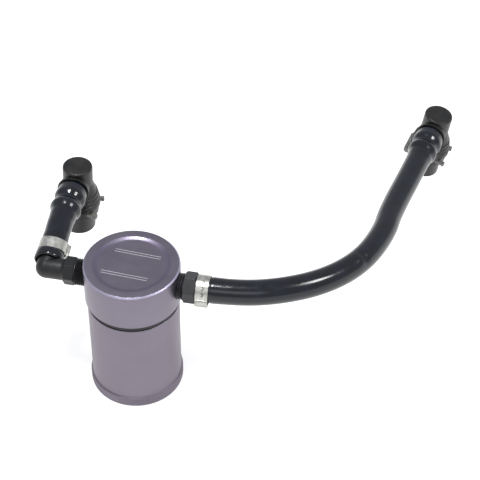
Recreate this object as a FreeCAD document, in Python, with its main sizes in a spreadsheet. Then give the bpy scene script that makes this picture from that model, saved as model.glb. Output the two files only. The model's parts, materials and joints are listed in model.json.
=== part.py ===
import FreeCAD, Part
import math
import os
from types import SimpleNamespace

import Sketcher

# Oil catch can with its two hoses and quick connectors, in millimetres.
# Origin: centre of the can's base. +Z is up the can, +X runs out of the right port, +Y is back.

Vector = FreeCAD.Vector
Rotation = FreeCAD.Rotation

# Sizes that can be changed, each with the name that the sheet gives it
SIZES = (
    ("can_radius", 30.5, "outside of the can's wall"),
    ("can_wall", 3.0, "wall of the can"),
    ("can_floor", 4.0, "floor of the can"),
    ("can_height", 73.5, "from the base to the can's rim"),
    ("can_corner", 3.0, "sloped corner inside the floor"),
    ("rim_chamfer", 0.4, "edge of the can's rim"),
    ("base_radius", 31.5, "grip ring round the base"),
    ("base_height", 8.5, "height of the grip ring"),
    ("base_chamfer", 0.6, "bottom edge of the grip ring"),
    ("seal_height", 4.5, "rubber seal between can and cap"),
    ("seal_radius", 29.9, "outside of the rubber seal"),
    ("seal_edge", 0.6, "sloped edges of the rubber seal"),
    ("seal_gap", 0.3, "room between the seal and the cap's skirt"),
    ("thread_gap", 0.08, "running clearance of the can's thread"),
    ("cap_radius", 31.75, "outside of the cap"),
    ("cap_height", 28.0, "height of the cap above its skirt"),
    ("cap_chamfer", 0.9, "top edge of the cap"),
    ("cap_edge", 0.3, "bottom edge of the cap"),
    ("cap_skirt", 12.0, "threaded skirt below the cap"),
    ("recess_radius", 25.3, "rim of the round recess on top"),
    ("recess_cove", 2.8, "width of the cove round the recess"),
    ("recess_depth", 1.1, "depth of the recess"),
    ("chamber_radius", 23.0, "chamber in the cap's underside"),
    ("chamber_height", 18.0, "chamber, from the end of the skirt"),
    ("port_height", 13.4, "port centres above the cap's lower edge"),
    ("port_depth", 8.75, "threaded depth of each port"),
    ("port_gap", 0.05, "room round a fitting's thread in its port"),
    ("gallery_radius", 5.5, "level passage behind each port"),
    ("riser_radius", 6.0, "upright passage in the cap"),
    ("riser_offset", 13.0, "upright passages from the can's axis"),
    ("tube_wall", 1.0, "wall of the inlet tube"),
    ("tube_fit", 0.05, "room round the inlet tube in its passage"),
    ("tube_bottom", 24.0, "foot of the inlet tube above the base"),
    ("pack_height", 9.5, "wire mesh pack"),
    ("pack_gap", 0.2, "room round the mesh pack and its plate"),
    ("plate_height", 1.5, "perforated plate under the mesh"),
    ("plate_hole", 1.5, "radius of the plate's holes"),
    ("plate_circle", 17.0, "circle of the plate's holes"),
    ("snap_depth", 1.2, "groove of the snap ring"),
    ("snap_height", 1.5, "thickness of the snap ring"),
    ("snap_width", 2.5, "radial width of the snap ring"),
    ("snap_mouth", 8.0, "gap between the snap ring's ends"),
    ("layer_gap", 0.1, "room between parts stacked in a bore"),
    ("nipple_radius", 8.95, "fitting's pipe thread"),
    ("nipple_reach", 8.25, "thread inside the port"),
    ("hex_chamfer", 0.9, "turned corners of the hexagons"),
    ("left_hex_turn", 45.0, "turn of the left hexagon from corner up, in degrees"),
    ("right_hex_turn", 9.0, "turn of the right hexagon from corner up, in degrees"),
    ("fitting_bore", 4.6, "bore of the can's fittings"),
    ("left_thread_show", 6.3, "thread seen outside the left port"),
    ("left_hex_corner", 9.7, "left hexagon, centre to corner"),
    ("left_hex_length", 7.0, "left hexagon along its axis"),
    ("elbow_radius", 7.1, "both arms of the elbow"),
    ("elbow_reach", 13.1, "elbow's corner from its hexagon"),
    ("elbow_arm", 6.5, "elbow's corner to its collar"),
    ("collar_radius", 8.4, "collar where the left hose stops"),
    ("collar_length", 1.6, "width of that collar"),
    ("right_thread_show", 2.95, "thread seen outside the right port"),
    ("right_hex_corner", 10.6, "right hexagon, centre to corner"),
    ("right_hex_length", 8.3, "right hexagon along its axis"),
    ("barb_radius", 6.3, "crest of each hose barb"),
    ("barb_step", 0.7, "height of each hose barb"),
    ("barb_pitch", 5.0, "distance between barbs"),
    ("hose_radius", 8.6, "outside of the hoses"),
    ("hose_bore", 6.35, "inside of the hoses"),
    ("clamp_gap", 0.1, "room between clamp and hose"),
    ("clamp_band", 0.8, "thickness of the clamp's band"),
    ("clamp_width", 8.4, "width of the clamp's band"),
    ("left_clamp_set", 4.5, "left clamp's edge from the end of the hose"),
    ("right_clamp_set", 0.2, "right clamp's edge from the end of the hose"),
    ("ear_width", 6.2, "ear of the clamp along the band"),
    ("ear_height", 1.6, "ear of the clamp above the band"),
    ("ear_hollow", 0.8, "sheet of the ear"),
    ("window_length", 2.4, "slots in the band, across it"),
    ("window_width", 0.8, "slots in the band, along it"),
    ("window_angle", 27.0, "turn from one slot to the next, in degrees"),
    ("body_top", 13.2, "connector's top above its hose arm"),
    ("body_radius", 10.3, "connector's column"),
    ("body_edge", 0.8, "top edge of the column"),
    ("flare_start", 1.0, "start of the flare below the hose arm"),
    ("flare_end", 18.0, "end of the flare below the hose arm"),
    ("flare_radius", 15.2, "rim of the flare"),
    ("flare_rim", 2.4, "height of the flare's rim"),
    ("guard_radius", 13.8, "housing round the clip"),
    ("guard_height", 6.2, "housing round the clip, along the axis"),
    ("skirt_slope", 1.2, "slope from the housing to the skirt"),
    ("mouth_radius", 11.3, "skirt at the connector's mouth"),
    ("mouth_end", 40.6, "mouth below the hose arm"),
    ("mouth_bore", 9.9, "bore that lets the tube's bead pass"),
    ("socket_radius", 8.0, "bore that guides the tube"),
    ("socket_start", 1.0, "inner end of the guide bore below the arm"),
    ("socket_length", 8.5, "length of the guide bore"),
    ("packing_radius", 9.7, "bore that holds the seals"),
    ("packing_length", 11.0, "length of that bore"),
    ("passage_radius", 6.0, "passage above the guide bore"),
    ("passage_top", 6.0, "top of that passage above the arm"),
    ("arm_radius", 10.6, "connector's hose arm"),
    ("arm_length", 12.4, "column's axis to the hose's end"),
    ("flange_radius", 11.2, "flange where the hose stops"),
    ("flange_length", 1.0, "width of that flange"),
    ("arm_bore", 4.2, "bore of the connector's barbed arm"),
    ("oring_section", 0.8, "section radius of the connector's seals"),
    ("oring_gap", 0.05, "room round each seal and spacer"),
    ("spacer_height", 3.0, "spacer between the seals"),
    ("bush_gap", 0.1, "room round the tube in spacer and bush"),
    ("clip_inner", 8.3, "clip's legs from the axis"),
    ("clip_thick", 2.4, "thickness of the clip's legs"),
    ("clip_height", 3.0, "height of the clip"),
    ("clip_gap", 0.3, "room round the clip in its slots"),
    ("clip_tip", 15.9, "tips of the legs past the axis"),
    ("clip_back", 14.2, "inside of the clip's head from the axis"),
    ("clip_head", 2.6, "thickness of the clip's head"),
    ("clip_nib", 0.7, "nibs on the tips of the legs"),
    ("nib_length", 1.8, "length of those nibs"),
)
PLATE_HOLES = 16
ELBOW_RISE = 9.0
LEFT_LEAN = 1.8
RIGHT_LEAN = 7.7
LEFT_EAR = 28.0
RIGHT_EAR = 215.0
LEFT_MARKS = 100.0
RIGHT_MARKS = 106.0
LEFT_SKEW = 12.0
RIGHT_SKEW = 0.0
LEFT_BARBS = 3
RIGHT_BARBS = 3
CONNECTOR_BARBS = 5

# The hoses' routes, chosen by hand along their centre lines, from the start of each hose
LEFT_ROUTE = (
    (0.0, 0.0, 0.0),
    (0.0, 16.7, 2.65),
    (-0.35, 32.5, 5.5),
    (0.0, 60.8, 4.95),
)
RIGHT_ROUTE = (
    (0.0, 0.0, 0.0),
    (23.0, 0.0, 0.0),
    (51.9, 7.1, -0.3),
    (80.8, 24.6, -2.6),
    (101.9, 50.8, -5.5),
    (113.0, 82.9, -7.7),
    (115.2, 108.1, -9.8),
    (125.0, 152.6, -12.0),
    (134.6, 196.8, -12.4),
)
ARC_SHARE = 0.45


class Size:
    """A length with its value and the sheet's formula for it, so what is bound to it follows."""

    def __init__(self, value, formula=None):
        self.value = float(value)
        self.formula = formula or f"({self.value!r})"

    def join(self, sign, other, value):
        return Size(value, f"({self.formula} {sign} {other.formula})")

    def __add__(self, other):
        other = as_size(other)
        return self.join("+", other, self.value + other.value)

    def __sub__(self, other):
        other = as_size(other)
        return self.join("-", other, self.value - other.value)

    def __mul__(self, other):
        other = as_size(other)
        return self.join("*", other, self.value * other.value)

    def __truediv__(self, other):
        other = as_size(other)
        return self.join("/", other, self.value / other.value)

    def __neg__(self):
        return as_size(0) - self


def as_size(value):
    return value if isinstance(value, Size) else Size(value)


doc = FreeCAD.newDocument("oil_catch_can")
sheet = doc.addObject("Spreadsheet::Sheet", "Sizes")
for row, (alias, value, note) in enumerate(SIZES, start=1):
    sheet.set(f"A{row}", note)
    sheet.set(f"B{row}", str(value))
    sheet.setAlias(f"B{row}", alias)
doc.recompute()
s = SimpleNamespace(
    **{alias: Size(sheet.getPropertyByName(alias), f"Sizes.{alias}") for alias, _, _ in SIZES}
)

# Directions for forms that start out along Z
ALONG_Z = Rotation()
ALONG_X = Rotation(Vector(0, 1, 0), 90)
ALONG_MINUS_X = Rotation(Vector(0, 1, 0), -90)
ALONG_Y = Rotation(Vector(1, 0, 0), -90)
ALONG_MINUS_Y = Rotation(Vector(1, 0, 0), 90)


def bind(thing, prop, value):
    thing.setExpression(prop, as_size(value).formula)


def new_body(label):
    body = doc.addObject("PartDesign::Body", f"{label}_body")
    body.Label = label
    return body


def new_sketch(body, name, role):
    sketch = body.newObject("Sketcher::SketchObject", name)
    plane = next(f for f in body.Origin.OriginFeatures if f.Role == role)
    sketch.AttachmentSupport = (plane, [""])
    sketch.MapMode = "FlatFace"
    return sketch


def pin_point(sketch, edge, end, point):
    """Holds a point of the sketch at its two bound distances from the origin."""
    for kind, value in zip(("DistanceX", "DistanceY"), point):
        value = as_size(value)
        index = sketch.addConstraint(Sketcher.Constraint(kind, -1, 1, edge, end, value.value))
        sketch.setExpression(f"Constraints[{index}]", value.formula)


def outline(sketch, corners):
    """A closed outline of straight lines, each corner held by bound distances."""
    first = sketch.GeometryCount
    count = len(corners)
    spots = [Vector(as_size(x).value, as_size(y).value, 0) for x, y in corners]
    for i in range(count):
        sketch.addGeometry(Part.LineSegment(spots[i], spots[(i + 1) % count]), False)
    for i in range(count):
        following = first + (i + 1) % count
        sketch.addConstraint(Sketcher.Constraint("Coincident", first + i, 2, following, 1))
        pin_point(sketch, first + i, 1, corners[i])


def turn_profile(body, name, corners, kind="Revolution"):
    """Turns an outline of radii and heights about the body's Z axis."""
    sketch = new_sketch(body, f"{name}_profile", "XZ_Plane")
    outline(sketch, corners)
    turned = body.newObject(f"PartDesign::{kind}", name)
    turned.Profile = sketch
    turned.ReferenceAxis = (sketch, ["V_Axis"])
    turned.Angle = 360
    return turned


def form(body, kind, name, base, direction=ALONG_Z, **sizes):
    """Adds or cuts a plain form whose place and sizes are bound to the sheet."""
    made = body.newObject(f"PartDesign::{kind}", name)
    made.MapMode = "Deactivated"
    made.Placement = FreeCAD.Placement(Vector(), direction)
    for axis, value in zip("xyz", base):
        bind(made, f"Placement.Base.{axis}", value)
    for prop, value in sizes.items():
        bind(made, prop, value)
    return made


def place(body, base, direction=ALONG_Z):
    body.Placement = FreeCAD.Placement(Vector(), direction)
    for axis, value in zip("xyz", base):
        bind(body, f"Placement.Base.{axis}", value)


# Levels that several pieces share
can_bore = s.can_radius - s.can_wall
cap_level = s.can_height + s.seal_height
cap_top = cap_level + s.cap_height
skirt_level = cap_level - s.cap_skirt
skirt_radius = can_bore - s.thread_gap
chamber_top = skirt_level + s.chamber_height
port_level = cap_level + s.port_height
pack_bottom = chamber_top - s.layer_gap - s.pack_height
plate_bottom = pack_bottom - s.layer_gap - s.plate_height
groove_top = plate_bottom - s.layer_gap
groove_bottom = groove_top - s.snap_height - s.layer_gap * 2
pack_radius = s.chamber_radius - s.pack_gap
tube_radius = s.riser_radius - s.tube_fit


def moved(base, direction, distance):
    """A bound place at a distance from another one."""
    return tuple(as_size(at) + as_size(distance) * step for at, step in zip(base, direction))


# Where each hose starts: at the right fitting's hexagon and at the elbow's collar
branch = Vector(0, math.cos(math.radians(ELBOW_RISE)), math.sin(math.radians(ELBOW_RISE)))
elbow_corner = s.cap_radius + s.left_thread_show + s.left_hex_length + s.elbow_reach
left_start = moved((-elbow_corner, 0, port_level), branch, s.elbow_arm + s.collar_length)
right_start = (s.cap_radius + s.right_thread_show + s.right_hex_length, 0, port_level)


def make_can():
    """The can: a turned cup with a grip ring round its foot."""
    body = new_body("can")
    turn_profile(
        body,
        "can_cup",
        (
            (0, 0),
            (s.base_radius - s.base_chamfer, 0),
            (s.base_radius, s.base_chamfer),
            (s.base_radius, s.base_height),
            (s.can_radius, s.base_height),
            (s.can_radius, s.can_height - s.rim_chamfer),
            (s.can_radius - s.rim_chamfer, s.can_height),
            (can_bore, s.can_height),
            (can_bore, s.can_floor + s.can_corner),
            (can_bore - s.can_corner, s.can_floor),
            (0, s.can_floor),
        ),
    )
    return body


def make_seal():
    """The rubber ring that the cap presses on the can's rim."""
    body = new_body("seal_ring")
    inner = skirt_radius + s.seal_gap
    turn_profile(
        body,
        "seal_section",
        (
            (inner, s.can_height),
            (s.seal_radius - s.seal_edge, s.can_height),
            (s.seal_radius, s.can_height + s.seal_edge),
            (s.seal_radius, cap_level - s.seal_edge),
            (s.seal_radius - s.seal_edge, cap_level),
            (inner, cap_level),
        ),
    )
    return body


def make_cap():
    """The cap: a turned block with a recess on top, a chamber below and two threaded ports."""
    body = new_body("cap")
    floor_level = cap_top - s.recess_depth
    groove_radius = s.chamber_radius + s.snap_depth
    turn_profile(
        body,
        "cap_block",
        (
            (0, chamber_top),
            (s.chamber_radius, chamber_top),
            (s.chamber_radius, groove_top),
            (groove_radius, groove_top),
            (groove_radius, groove_bottom),
            (s.chamber_radius, groove_bottom),
            (s.chamber_radius, skirt_level),
            (skirt_radius, skirt_level),
            (skirt_radius, cap_level),
            (s.cap_radius - s.cap_edge, cap_level),
            (s.cap_radius, cap_level + s.cap_edge),
            (s.cap_radius, cap_top - s.cap_chamfer),
            (s.cap_radius - s.cap_chamfer, cap_top),
            (s.recess_radius, cap_top),
            (s.recess_radius - s.recess_cove * 0.25, cap_top - s.recess_depth * 0.65),
            (s.recess_radius - s.recess_cove * 0.6, cap_top - s.recess_depth * 0.92),
            (s.recess_radius - s.recess_cove, floor_level),
            (0, floor_level),
        ),
    )
    port_floor = s.cap_radius - s.port_depth
    for side, outwards, direction in ((1, ALONG_X, "right"), (-1, ALONG_MINUS_X, "left")):
        form(
            body,
            "SubtractiveCylinder",
            f"{direction}_port",
            (port_floor * side, 0, port_level),
            outwards,
            Radius=s.nipple_radius + s.port_gap,
            Height=s.port_depth * 2,
        )
        form(
            body,
            "SubtractiveCylinder",
            f"{direction}_gallery",
            (s.riser_offset * side, 0, port_level),
            outwards,
            Radius=s.gallery_radius,
            Height=s.cap_radius - s.riser_offset,
        )
        form(
            body,
            "SubtractiveCylinder",
            f"{direction}_riser",
            (s.riser_offset * side, 0, chamber_top),
            Radius=s.riser_radius,
            Height=port_level + s.gallery_radius - chamber_top,
        )
    return body


def make_inlet_tube():
    """The tube that leads the gas from the left port down into the can."""
    body = new_body("inlet_tube")
    top = port_level - s.gallery_radius
    turn_profile(
        body,
        "tube_wall_section",
        (
            (tube_radius - s.tube_wall, s.tube_bottom),
            (tube_radius, s.tube_bottom),
            (tube_radius, top),
            (tube_radius - s.tube_wall, top),
        ),
    )
    place(body, (-s.riser_offset, 0, 0))
    return body


def make_mesh_pack():
    """The pack of wire mesh in the chamber, which the oil mist settles on."""
    body = new_body("mesh_pack")
    top = pack_bottom + s.pack_height
    corners = ((0, pack_bottom), (pack_radius, pack_bottom), (pack_radius, top), (0, top))
    turn_profile(body, "pack_disc", corners)
    form(
        body,
        "SubtractiveCylinder",
        "pack_tube_hole",
        (-s.riser_offset, 0, pack_bottom - 1),
        Radius=tube_radius + s.pack_gap,
        Height=s.pack_height + 2,
    )
    return body


def make_screen_plate():
    """The perforated plate that holds the mesh up."""
    body = new_body("screen_plate")
    top = plate_bottom + s.plate_height
    corners = ((0, plate_bottom), (pack_radius, plate_bottom), (pack_radius, top), (0, top))
    turn_profile(body, "plate_disc", corners)
    form(
        body,
        "SubtractiveCylinder",
        "plate_tube_hole",
        (-s.riser_offset, 0, plate_bottom - 1),
        Radius=tube_radius + s.pack_gap,
        Height=s.plate_height + 2,
    )
    for number in range(PLATE_HOLES):
        turn = 2 * math.pi * (number + 0.5) / PLATE_HOLES
        clear = s.riser_offset.value + tube_radius.value + s.plate_hole.value * 2
        if s.plate_circle.value * abs(math.cos(turn)) < clear and math.cos(turn) < -0.75:
            continue
        form(
            body,
            "SubtractiveCylinder",
            f"plate_hole_{number + 1}",
            (s.plate_circle * math.cos(turn), s.plate_circle * math.sin(turn), plate_bottom - 1),
            Radius=s.plate_hole,
            Height=s.plate_height + 2,
        )
    for number in range(PLATE_HOLES // 2):
        turn = 4 * math.pi * number / PLATE_HOLES
        ring = s.plate_circle * 0.5
        form(
            body,
            "SubtractiveCylinder",
            f"plate_inner_hole_{number + 1}",
            (ring * math.cos(turn) + s.plate_hole * 2, ring * math.sin(turn), plate_bottom - 1),
            Radius=s.plate_hole,
            Height=s.plate_height + 2,
        )
    return body


def make_snap_ring():
    """The split spring ring in the skirt's groove, under the plate."""
    body = new_body("snap_ring")
    outer = s.chamber_radius + s.snap_depth - s.layer_gap
    bottom = groove_bottom + s.layer_gap
    top = bottom + s.snap_height
    turn_profile(
        body,
        "snap_section",
        (
            (outer - s.snap_width, bottom),
            (outer, bottom),
            (outer, top),
            (outer - s.snap_width, top),
        ),
    )
    form(
        body,
        "SubtractiveBox",
        "snap_ring_mouth",
        (0, -s.snap_mouth / 2, bottom - 1),
        Length=outer + 1,
        Width=s.snap_mouth,
        Height=s.snap_height + 2,
    )
    return body


def add_hexagon(body, name, start, length, corner, turn, along):
    """A hexagon for a spanner, turned from corner up."""
    form(
        body,
        "AdditivePrism",
        name,
        along(start),
        Rotation(Vector(0, 0, 1), turn.value),
        Polygon=6,
        Circumradius=corner,
        Height=length,
    )


def add_barbs(body, name, start, count, direction, along):
    """A hose stem with tapered barbs, each with its sharp edge towards the fitting."""
    stem = s.barb_radius - s.barb_step
    form(
        body,
        "AdditiveCylinder",
        f"{name}_stem",
        along(start),
        direction,
        Radius=stem,
        Height=s.barb_pitch * count,
    )
    for number in range(count):
        form(
            body,
            "AdditiveCone",
            f"{name}_{number + 1}",
            along(start + s.barb_pitch * (number + 0.25)),
            direction,
            Radius1=s.barb_radius,
            Radius2=stem,
            Height=s.barb_pitch * 0.75,
        )


def make_right_fitting():
    """The straight fitting: pipe thread, hexagon and barbed stem, bored through."""
    body = new_body("right_fitting")
    hex_start = s.nipple_reach + s.right_thread_show
    stem_start = hex_start + s.right_hex_length
    corners = ((0, 0), (s.nipple_radius, 0), (s.nipple_radius, hex_start), (0, hex_start))
    turn_profile(body, "right_nipple", corners)

    def along(distance):
        return (0, 0, distance)

    length = s.right_hex_length
    turn = s.right_hex_turn
    add_hexagon(body, "right_hexagon", hex_start, length, s.right_hex_corner, turn, along)
    for name, level, inward in (
        ("right_hex_lower", hex_start, s.hex_chamfer),
        ("right_hex_upper", stem_start, -s.hex_chamfer),
    ):
        turn_profile(
            body,
            name,
            (
                (s.right_hex_corner - s.hex_chamfer * 1.7, level),
                (s.right_hex_corner + 1, level),
                (s.right_hex_corner + 1, level + inward * 1.6),
            ),
            "Groove",
        )
    add_barbs(body, "right_barb", stem_start, RIGHT_BARBS, ALONG_Z, along)
    form(
        body,
        "SubtractiveCylinder",
        "right_bore",
        (0, 0, -1),
        Radius=s.fitting_bore,
        Height=stem_start + s.barb_pitch * RIGHT_BARBS + 2,
    )
    place(body, (s.cap_radius - s.nipple_reach, 0, port_level), ALONG_X)
    return body


def make_left_elbow():
    """The elbow fitting: pipe thread, hexagon, round elbow, collar and barbed stem."""
    body = new_body("left_elbow")
    hex_start = s.nipple_reach + s.left_thread_show
    corner_start = hex_start + s.left_hex_length + s.elbow_reach
    corners = ((0, 0), (s.nipple_radius, 0), (s.nipple_radius, hex_start), (0, hex_start))
    turn_profile(body, "left_nipple", corners)

    def along(distance):
        return (0, 0, distance)

    def back(distance):
        return (0, distance, corner_start)

    length = s.left_hex_length
    turn = s.left_hex_turn
    add_hexagon(body, "left_hexagon", hex_start, length, s.left_hex_corner, turn, along)
    for name, level, inward in (
        ("left_hex_inner", hex_start, s.hex_chamfer),
        ("left_hex_outer", hex_start + length, -s.hex_chamfer),
    ):
        turn_profile(
            body,
            name,
            (
                (s.left_hex_corner - s.hex_chamfer, level),
                (s.left_hex_corner + 1, level),
                (s.left_hex_corner + 1, level + inward * 1.6),
            ),
            "Groove",
        )
    form(
        body,
        "AdditiveCylinder",
        "elbow_run",
        along(hex_start + length),
        Radius=s.elbow_radius,
        Height=s.elbow_reach,
    )
    form(body, "AdditiveSphere", "elbow_corner", along(corner_start), Radius=s.elbow_radius)
    form(
        body,
        "AdditiveCylinder",
        "elbow_branch",
        back(0),
        ALONG_Y,
        Radius=s.elbow_radius,
        Height=s.elbow_arm,
    )
    form(
        body,
        "AdditiveCylinder",
        "elbow_collar",
        back(s.elbow_arm),
        ALONG_Y,
        Radius=s.collar_radius,
        Height=s.collar_length,
    )
    stem_start = s.elbow_arm + s.collar_length
    add_barbs(body, "left_barb", stem_start, LEFT_BARBS, ALONG_Y, back)
    form(
        body,
        "SubtractiveCylinder",
        "elbow_run_bore",
        (0, 0, -1),
        Radius=s.fitting_bore,
        Height=corner_start + 1,
    )
    form(body, "SubtractiveSphere", "elbow_corner_bore", back(0), Radius=s.fitting_bore)
    form(
        body,
        "SubtractiveCylinder",
        "elbow_branch_bore",
        back(0),
        ALONG_Y,
        Radius=s.fitting_bore,
        Height=stem_start + s.barb_pitch * LEFT_BARBS + 1,
    )
    turned = ALONG_MINUS_X.multiply(Rotation(Vector(0, 0, 1), -ELBOW_RISE))
    place(body, (s.nipple_reach - s.cap_radius, 0, port_level), turned)
    return body


def route_points(route):
    return [Vector(*point) for point in route]


def hose_wire(points):
    """Straight runs joined by tangent arcs, and the radius of each arc."""
    edges = []
    radii = []
    at = points[0]
    for before, corner, after in zip(points, points[1:], points[2:]):
        arriving = (corner - before).normalize()
        leaving = (after - corner).normalize()
        turn = arriving.getAngle(leaving)
        reach = ARC_SHARE * min((corner - before).Length, (after - corner).Length)
        radius = reach / math.tan(turn / 2)
        radii.append(radius)
        start = corner - arriving * reach
        end = corner + leaving * reach
        inward = (leaving - arriving).normalize()
        middle = corner + inward * (radius / math.cos(turn / 2) - radius)
        edges.append(Part.LineSegment(at, start).toShape())
        edges.append(Part.Arc(start, middle, end).toShape())
        at = end
    edges.append(Part.LineSegment(at, points[-1]).toShape())
    return Part.Wire(edges), radii


def make_hose(label, route, start):
    """A rubber hose along its route, bored through."""
    points = route_points(route)
    wire, radii = hose_wire(points)
    outward = (points[1] - points[0]).normalize()

    def swept(radius):
        circle = Part.Wire([Part.Circle(points[0], outward, radius).toShape()])
        return wire.makePipeShell([circle], True, False)

    outer = swept(s.hose_radius.value)
    tube = outer.cut(swept(s.hose_bore.value))
    solid = tube.Solids[0]
    section = math.pi * (s.hose_radius.value**2 - s.hose_bore.value**2)
    share = solid.Volume / (section * wire.Length)
    print(f"{label}: {wire.Length:.1f} mm long, volume {share:.4f} of section times length")
    print(f"{label}: arc radii", [round(radius) for radius in radii])
    hose = doc.addObject("Part::Feature", f"{label}_tube")
    hose.Label = label
    hose.Shape = solid
    place(hose, start)
    return hose


def make_clamp(label, route, start, setback, ear_turn, first_mark, skew):
    """A crimped band clamp with its ear, round the end of a hose; its axis starts along Z."""
    body = new_body(label)
    inner = s.hose_radius + s.clamp_gap
    outer = inner + s.clamp_band
    slope = math.tan(math.radians(skew))
    spare = outer * slope
    turn_profile(
        body,
        f"{label}_band",
        (
            (inner, -spare),
            (outer, -spare),
            (outer, s.clamp_width + spare),
            (inner, s.clamp_width + spare),
        ),
    )
    if skew:
        tilt = Rotation(Vector(1, 0, 0), skew)
        block = outer * 4
        for name, level, depth in (("near", as_size(0), block), ("far", s.clamp_width, as_size(0))):
            corner = tilt.multVec(Vector(0, -1, 0))
            below = tilt.multVec(Vector(0, 0, -1))
            form(
                body,
                "SubtractiveBox",
                f"{label}_{name}_end",
                (
                    -block / 2,
                    block / 2 * corner.y + depth * below.y,
                    level + block / 2 * corner.z + depth * below.z,
                ),
                tilt,
                Length=block,
                Width=block,
                Height=block,
            )
    ear = Rotation(Vector(0, 0, 1), ear_turn)
    across = ear.multVec(Vector(0, 1, 0))
    outwards = ear.multVec(Vector(1, 0, 0))

    def beside(radial, sideways, level):
        x = radial * outwards.x + sideways * across.x
        y = radial * outwards.y + sideways * across.y
        return (x, y, as_size(level) + outer * outwards.y * slope)

    root = inner + s.clamp_band * 0.4
    form(
        body,
        "AdditiveBox",
        f"{label}_ear",
        beside(root, -s.ear_width / 2, 0),
        ear,
        Length=s.ear_height + s.clamp_band,
        Width=s.ear_width,
        Height=s.clamp_width,
    )
    form(
        body,
        "SubtractiveBox",
        f"{label}_ear_hollow",
        beside(outer, -s.ear_width / 2 + s.ear_hollow, -1),
        ear,
        Length=s.ear_height - s.ear_hollow,
        Width=s.ear_width - s.ear_hollow * 2,
        Height=s.clamp_width + 2,
    )
    for number in range(3):
        turn = Rotation(Vector(0, 0, 1), first_mark + s.window_angle.value * number)
        out = turn.multVec(Vector(1, 0, 0))
        side = turn.multVec(Vector(0, 1, 0))
        half = s.window_width / 2
        form(
            body,
            "SubtractiveBox",
            f"{label}_slot_{number + 1}",
            (
                (inner - 1) * out.x - half * side.x,
                (inner - 1) * out.y - half * side.y,
                (s.clamp_width - s.window_length) / 2 + outer * out.y * slope,
            ),
            turn,
            Length=s.clamp_band + 2,
            Width=s.window_width,
            Height=s.window_length,
        )
    points = route_points(route)
    onward = (points[1] - points[0]).normalize()
    upright = Vector(0, 1, 0) if label.startswith("right") else Vector(1, 0, 0)
    facing = (upright - onward * upright.dot(onward)).normalize()
    turned = Rotation(facing, onward.cross(facing), onward, "ZXY")
    place(body, moved(start, onward, setback), turned)
    return body


# Levels in a connector, from the crossing of its column and its hose arm
rim_level = -s.flare_end - s.flare_rim
guard_end = rim_level - s.guard_height
socket_end = -s.socket_start - s.socket_length
packing_end = socket_end - s.packing_length
clip_top = rim_level - s.clip_gap * 2
clip_bottom = clip_top - s.clip_height
front_seal_level = socket_end - s.layer_gap - s.oring_section
spacer_top = front_seal_level - s.oring_section - s.layer_gap
spacer_bottom = spacer_top - s.spacer_height
rear_seal_level = spacer_bottom - s.layer_gap - s.oring_section
bush_top = rear_seal_level - s.oring_section - s.layer_gap
packing_fit = s.packing_radius - s.oring_gap


def make_connector(side):
    """The connector's moulded body: column, flare, clip housing, skirt and barbed hose arm."""
    body = new_body(f"{side}_connector")
    turn_profile(
        body,
        f"{side}_column",
        (
            (0, s.body_top),
            (0, -s.mouth_end),
            (s.mouth_radius, -s.mouth_end),
            (s.mouth_radius, guard_end - s.skirt_slope),
            (s.guard_radius, guard_end),
            (s.guard_radius, rim_level),
            (s.flare_radius - s.body_edge, rim_level),
            (s.flare_radius, rim_level + s.body_edge),
            (s.flare_radius, -s.flare_end),
            (s.flare_radius - (s.flare_radius - s.body_radius) * 0.22, -s.flare_end * 0.75),
            (s.body_radius + (s.flare_radius - s.body_radius) * 0.38, -s.flare_end * 0.38),
            (s.body_radius, -s.flare_start),
            (s.body_radius, s.body_top - s.body_edge),
            (s.body_radius - s.body_edge, s.body_top),
        ),
    )

    def out(distance):
        return (0, -distance, 0)

    form(
        body,
        "AdditiveCylinder",
        f"{side}_arm",
        (0, 0, 0),
        ALONG_MINUS_Y,
        Radius=s.arm_radius - (s.arm_radius - s.body_radius) * 0.5,
        Height=s.arm_length,
    )
    form(
        body,
        "AdditiveCylinder",
        f"{side}_flange",
        out(s.arm_length - s.flange_length),
        ALONG_MINUS_Y,
        Radius=s.flange_radius,
        Height=s.flange_length,
    )
    add_barbs(body, f"{side}_hose_barb", s.arm_length, CONNECTOR_BARBS, ALONG_MINUS_Y, out)
    for name, radius, level, height in (
        ("passage", s.passage_radius, -s.socket_start, s.socket_start + s.passage_top),
        ("guide", s.socket_radius, socket_end, s.socket_length),
        ("packing", s.packing_radius, packing_end, s.packing_length),
        ("mouth", s.mouth_bore, -s.mouth_end - 1, s.mouth_end + packing_end + 1),
    ):
        form(
            body,
            "SubtractiveCylinder",
            f"{side}_{name}",
            (0, 0, level),
            Radius=radius,
            Height=height,
        )
    form(
        body,
        "SubtractiveCylinder",
        f"{side}_arm_bore",
        (0, 0, 0),
        ALONG_MINUS_Y,
        Radius=s.arm_bore,
        Height=s.arm_length + s.barb_pitch * CONNECTOR_BARBS + 1,
    )
    slot_width = s.clip_thick + s.clip_gap * 2
    inner = s.clip_inner - s.clip_gap
    for name, start in (("back", inner), ("front", -inner - slot_width)):
        form(
            body,
            "SubtractiveBox",
            f"{side}_{name}_slot",
            (-s.flare_radius - 1, start, clip_bottom - s.clip_gap),
            Length=s.flare_radius * 2 + 2,
            Width=slot_width,
            Height=s.clip_height + s.clip_gap * 2,
        )
    return body


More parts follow.
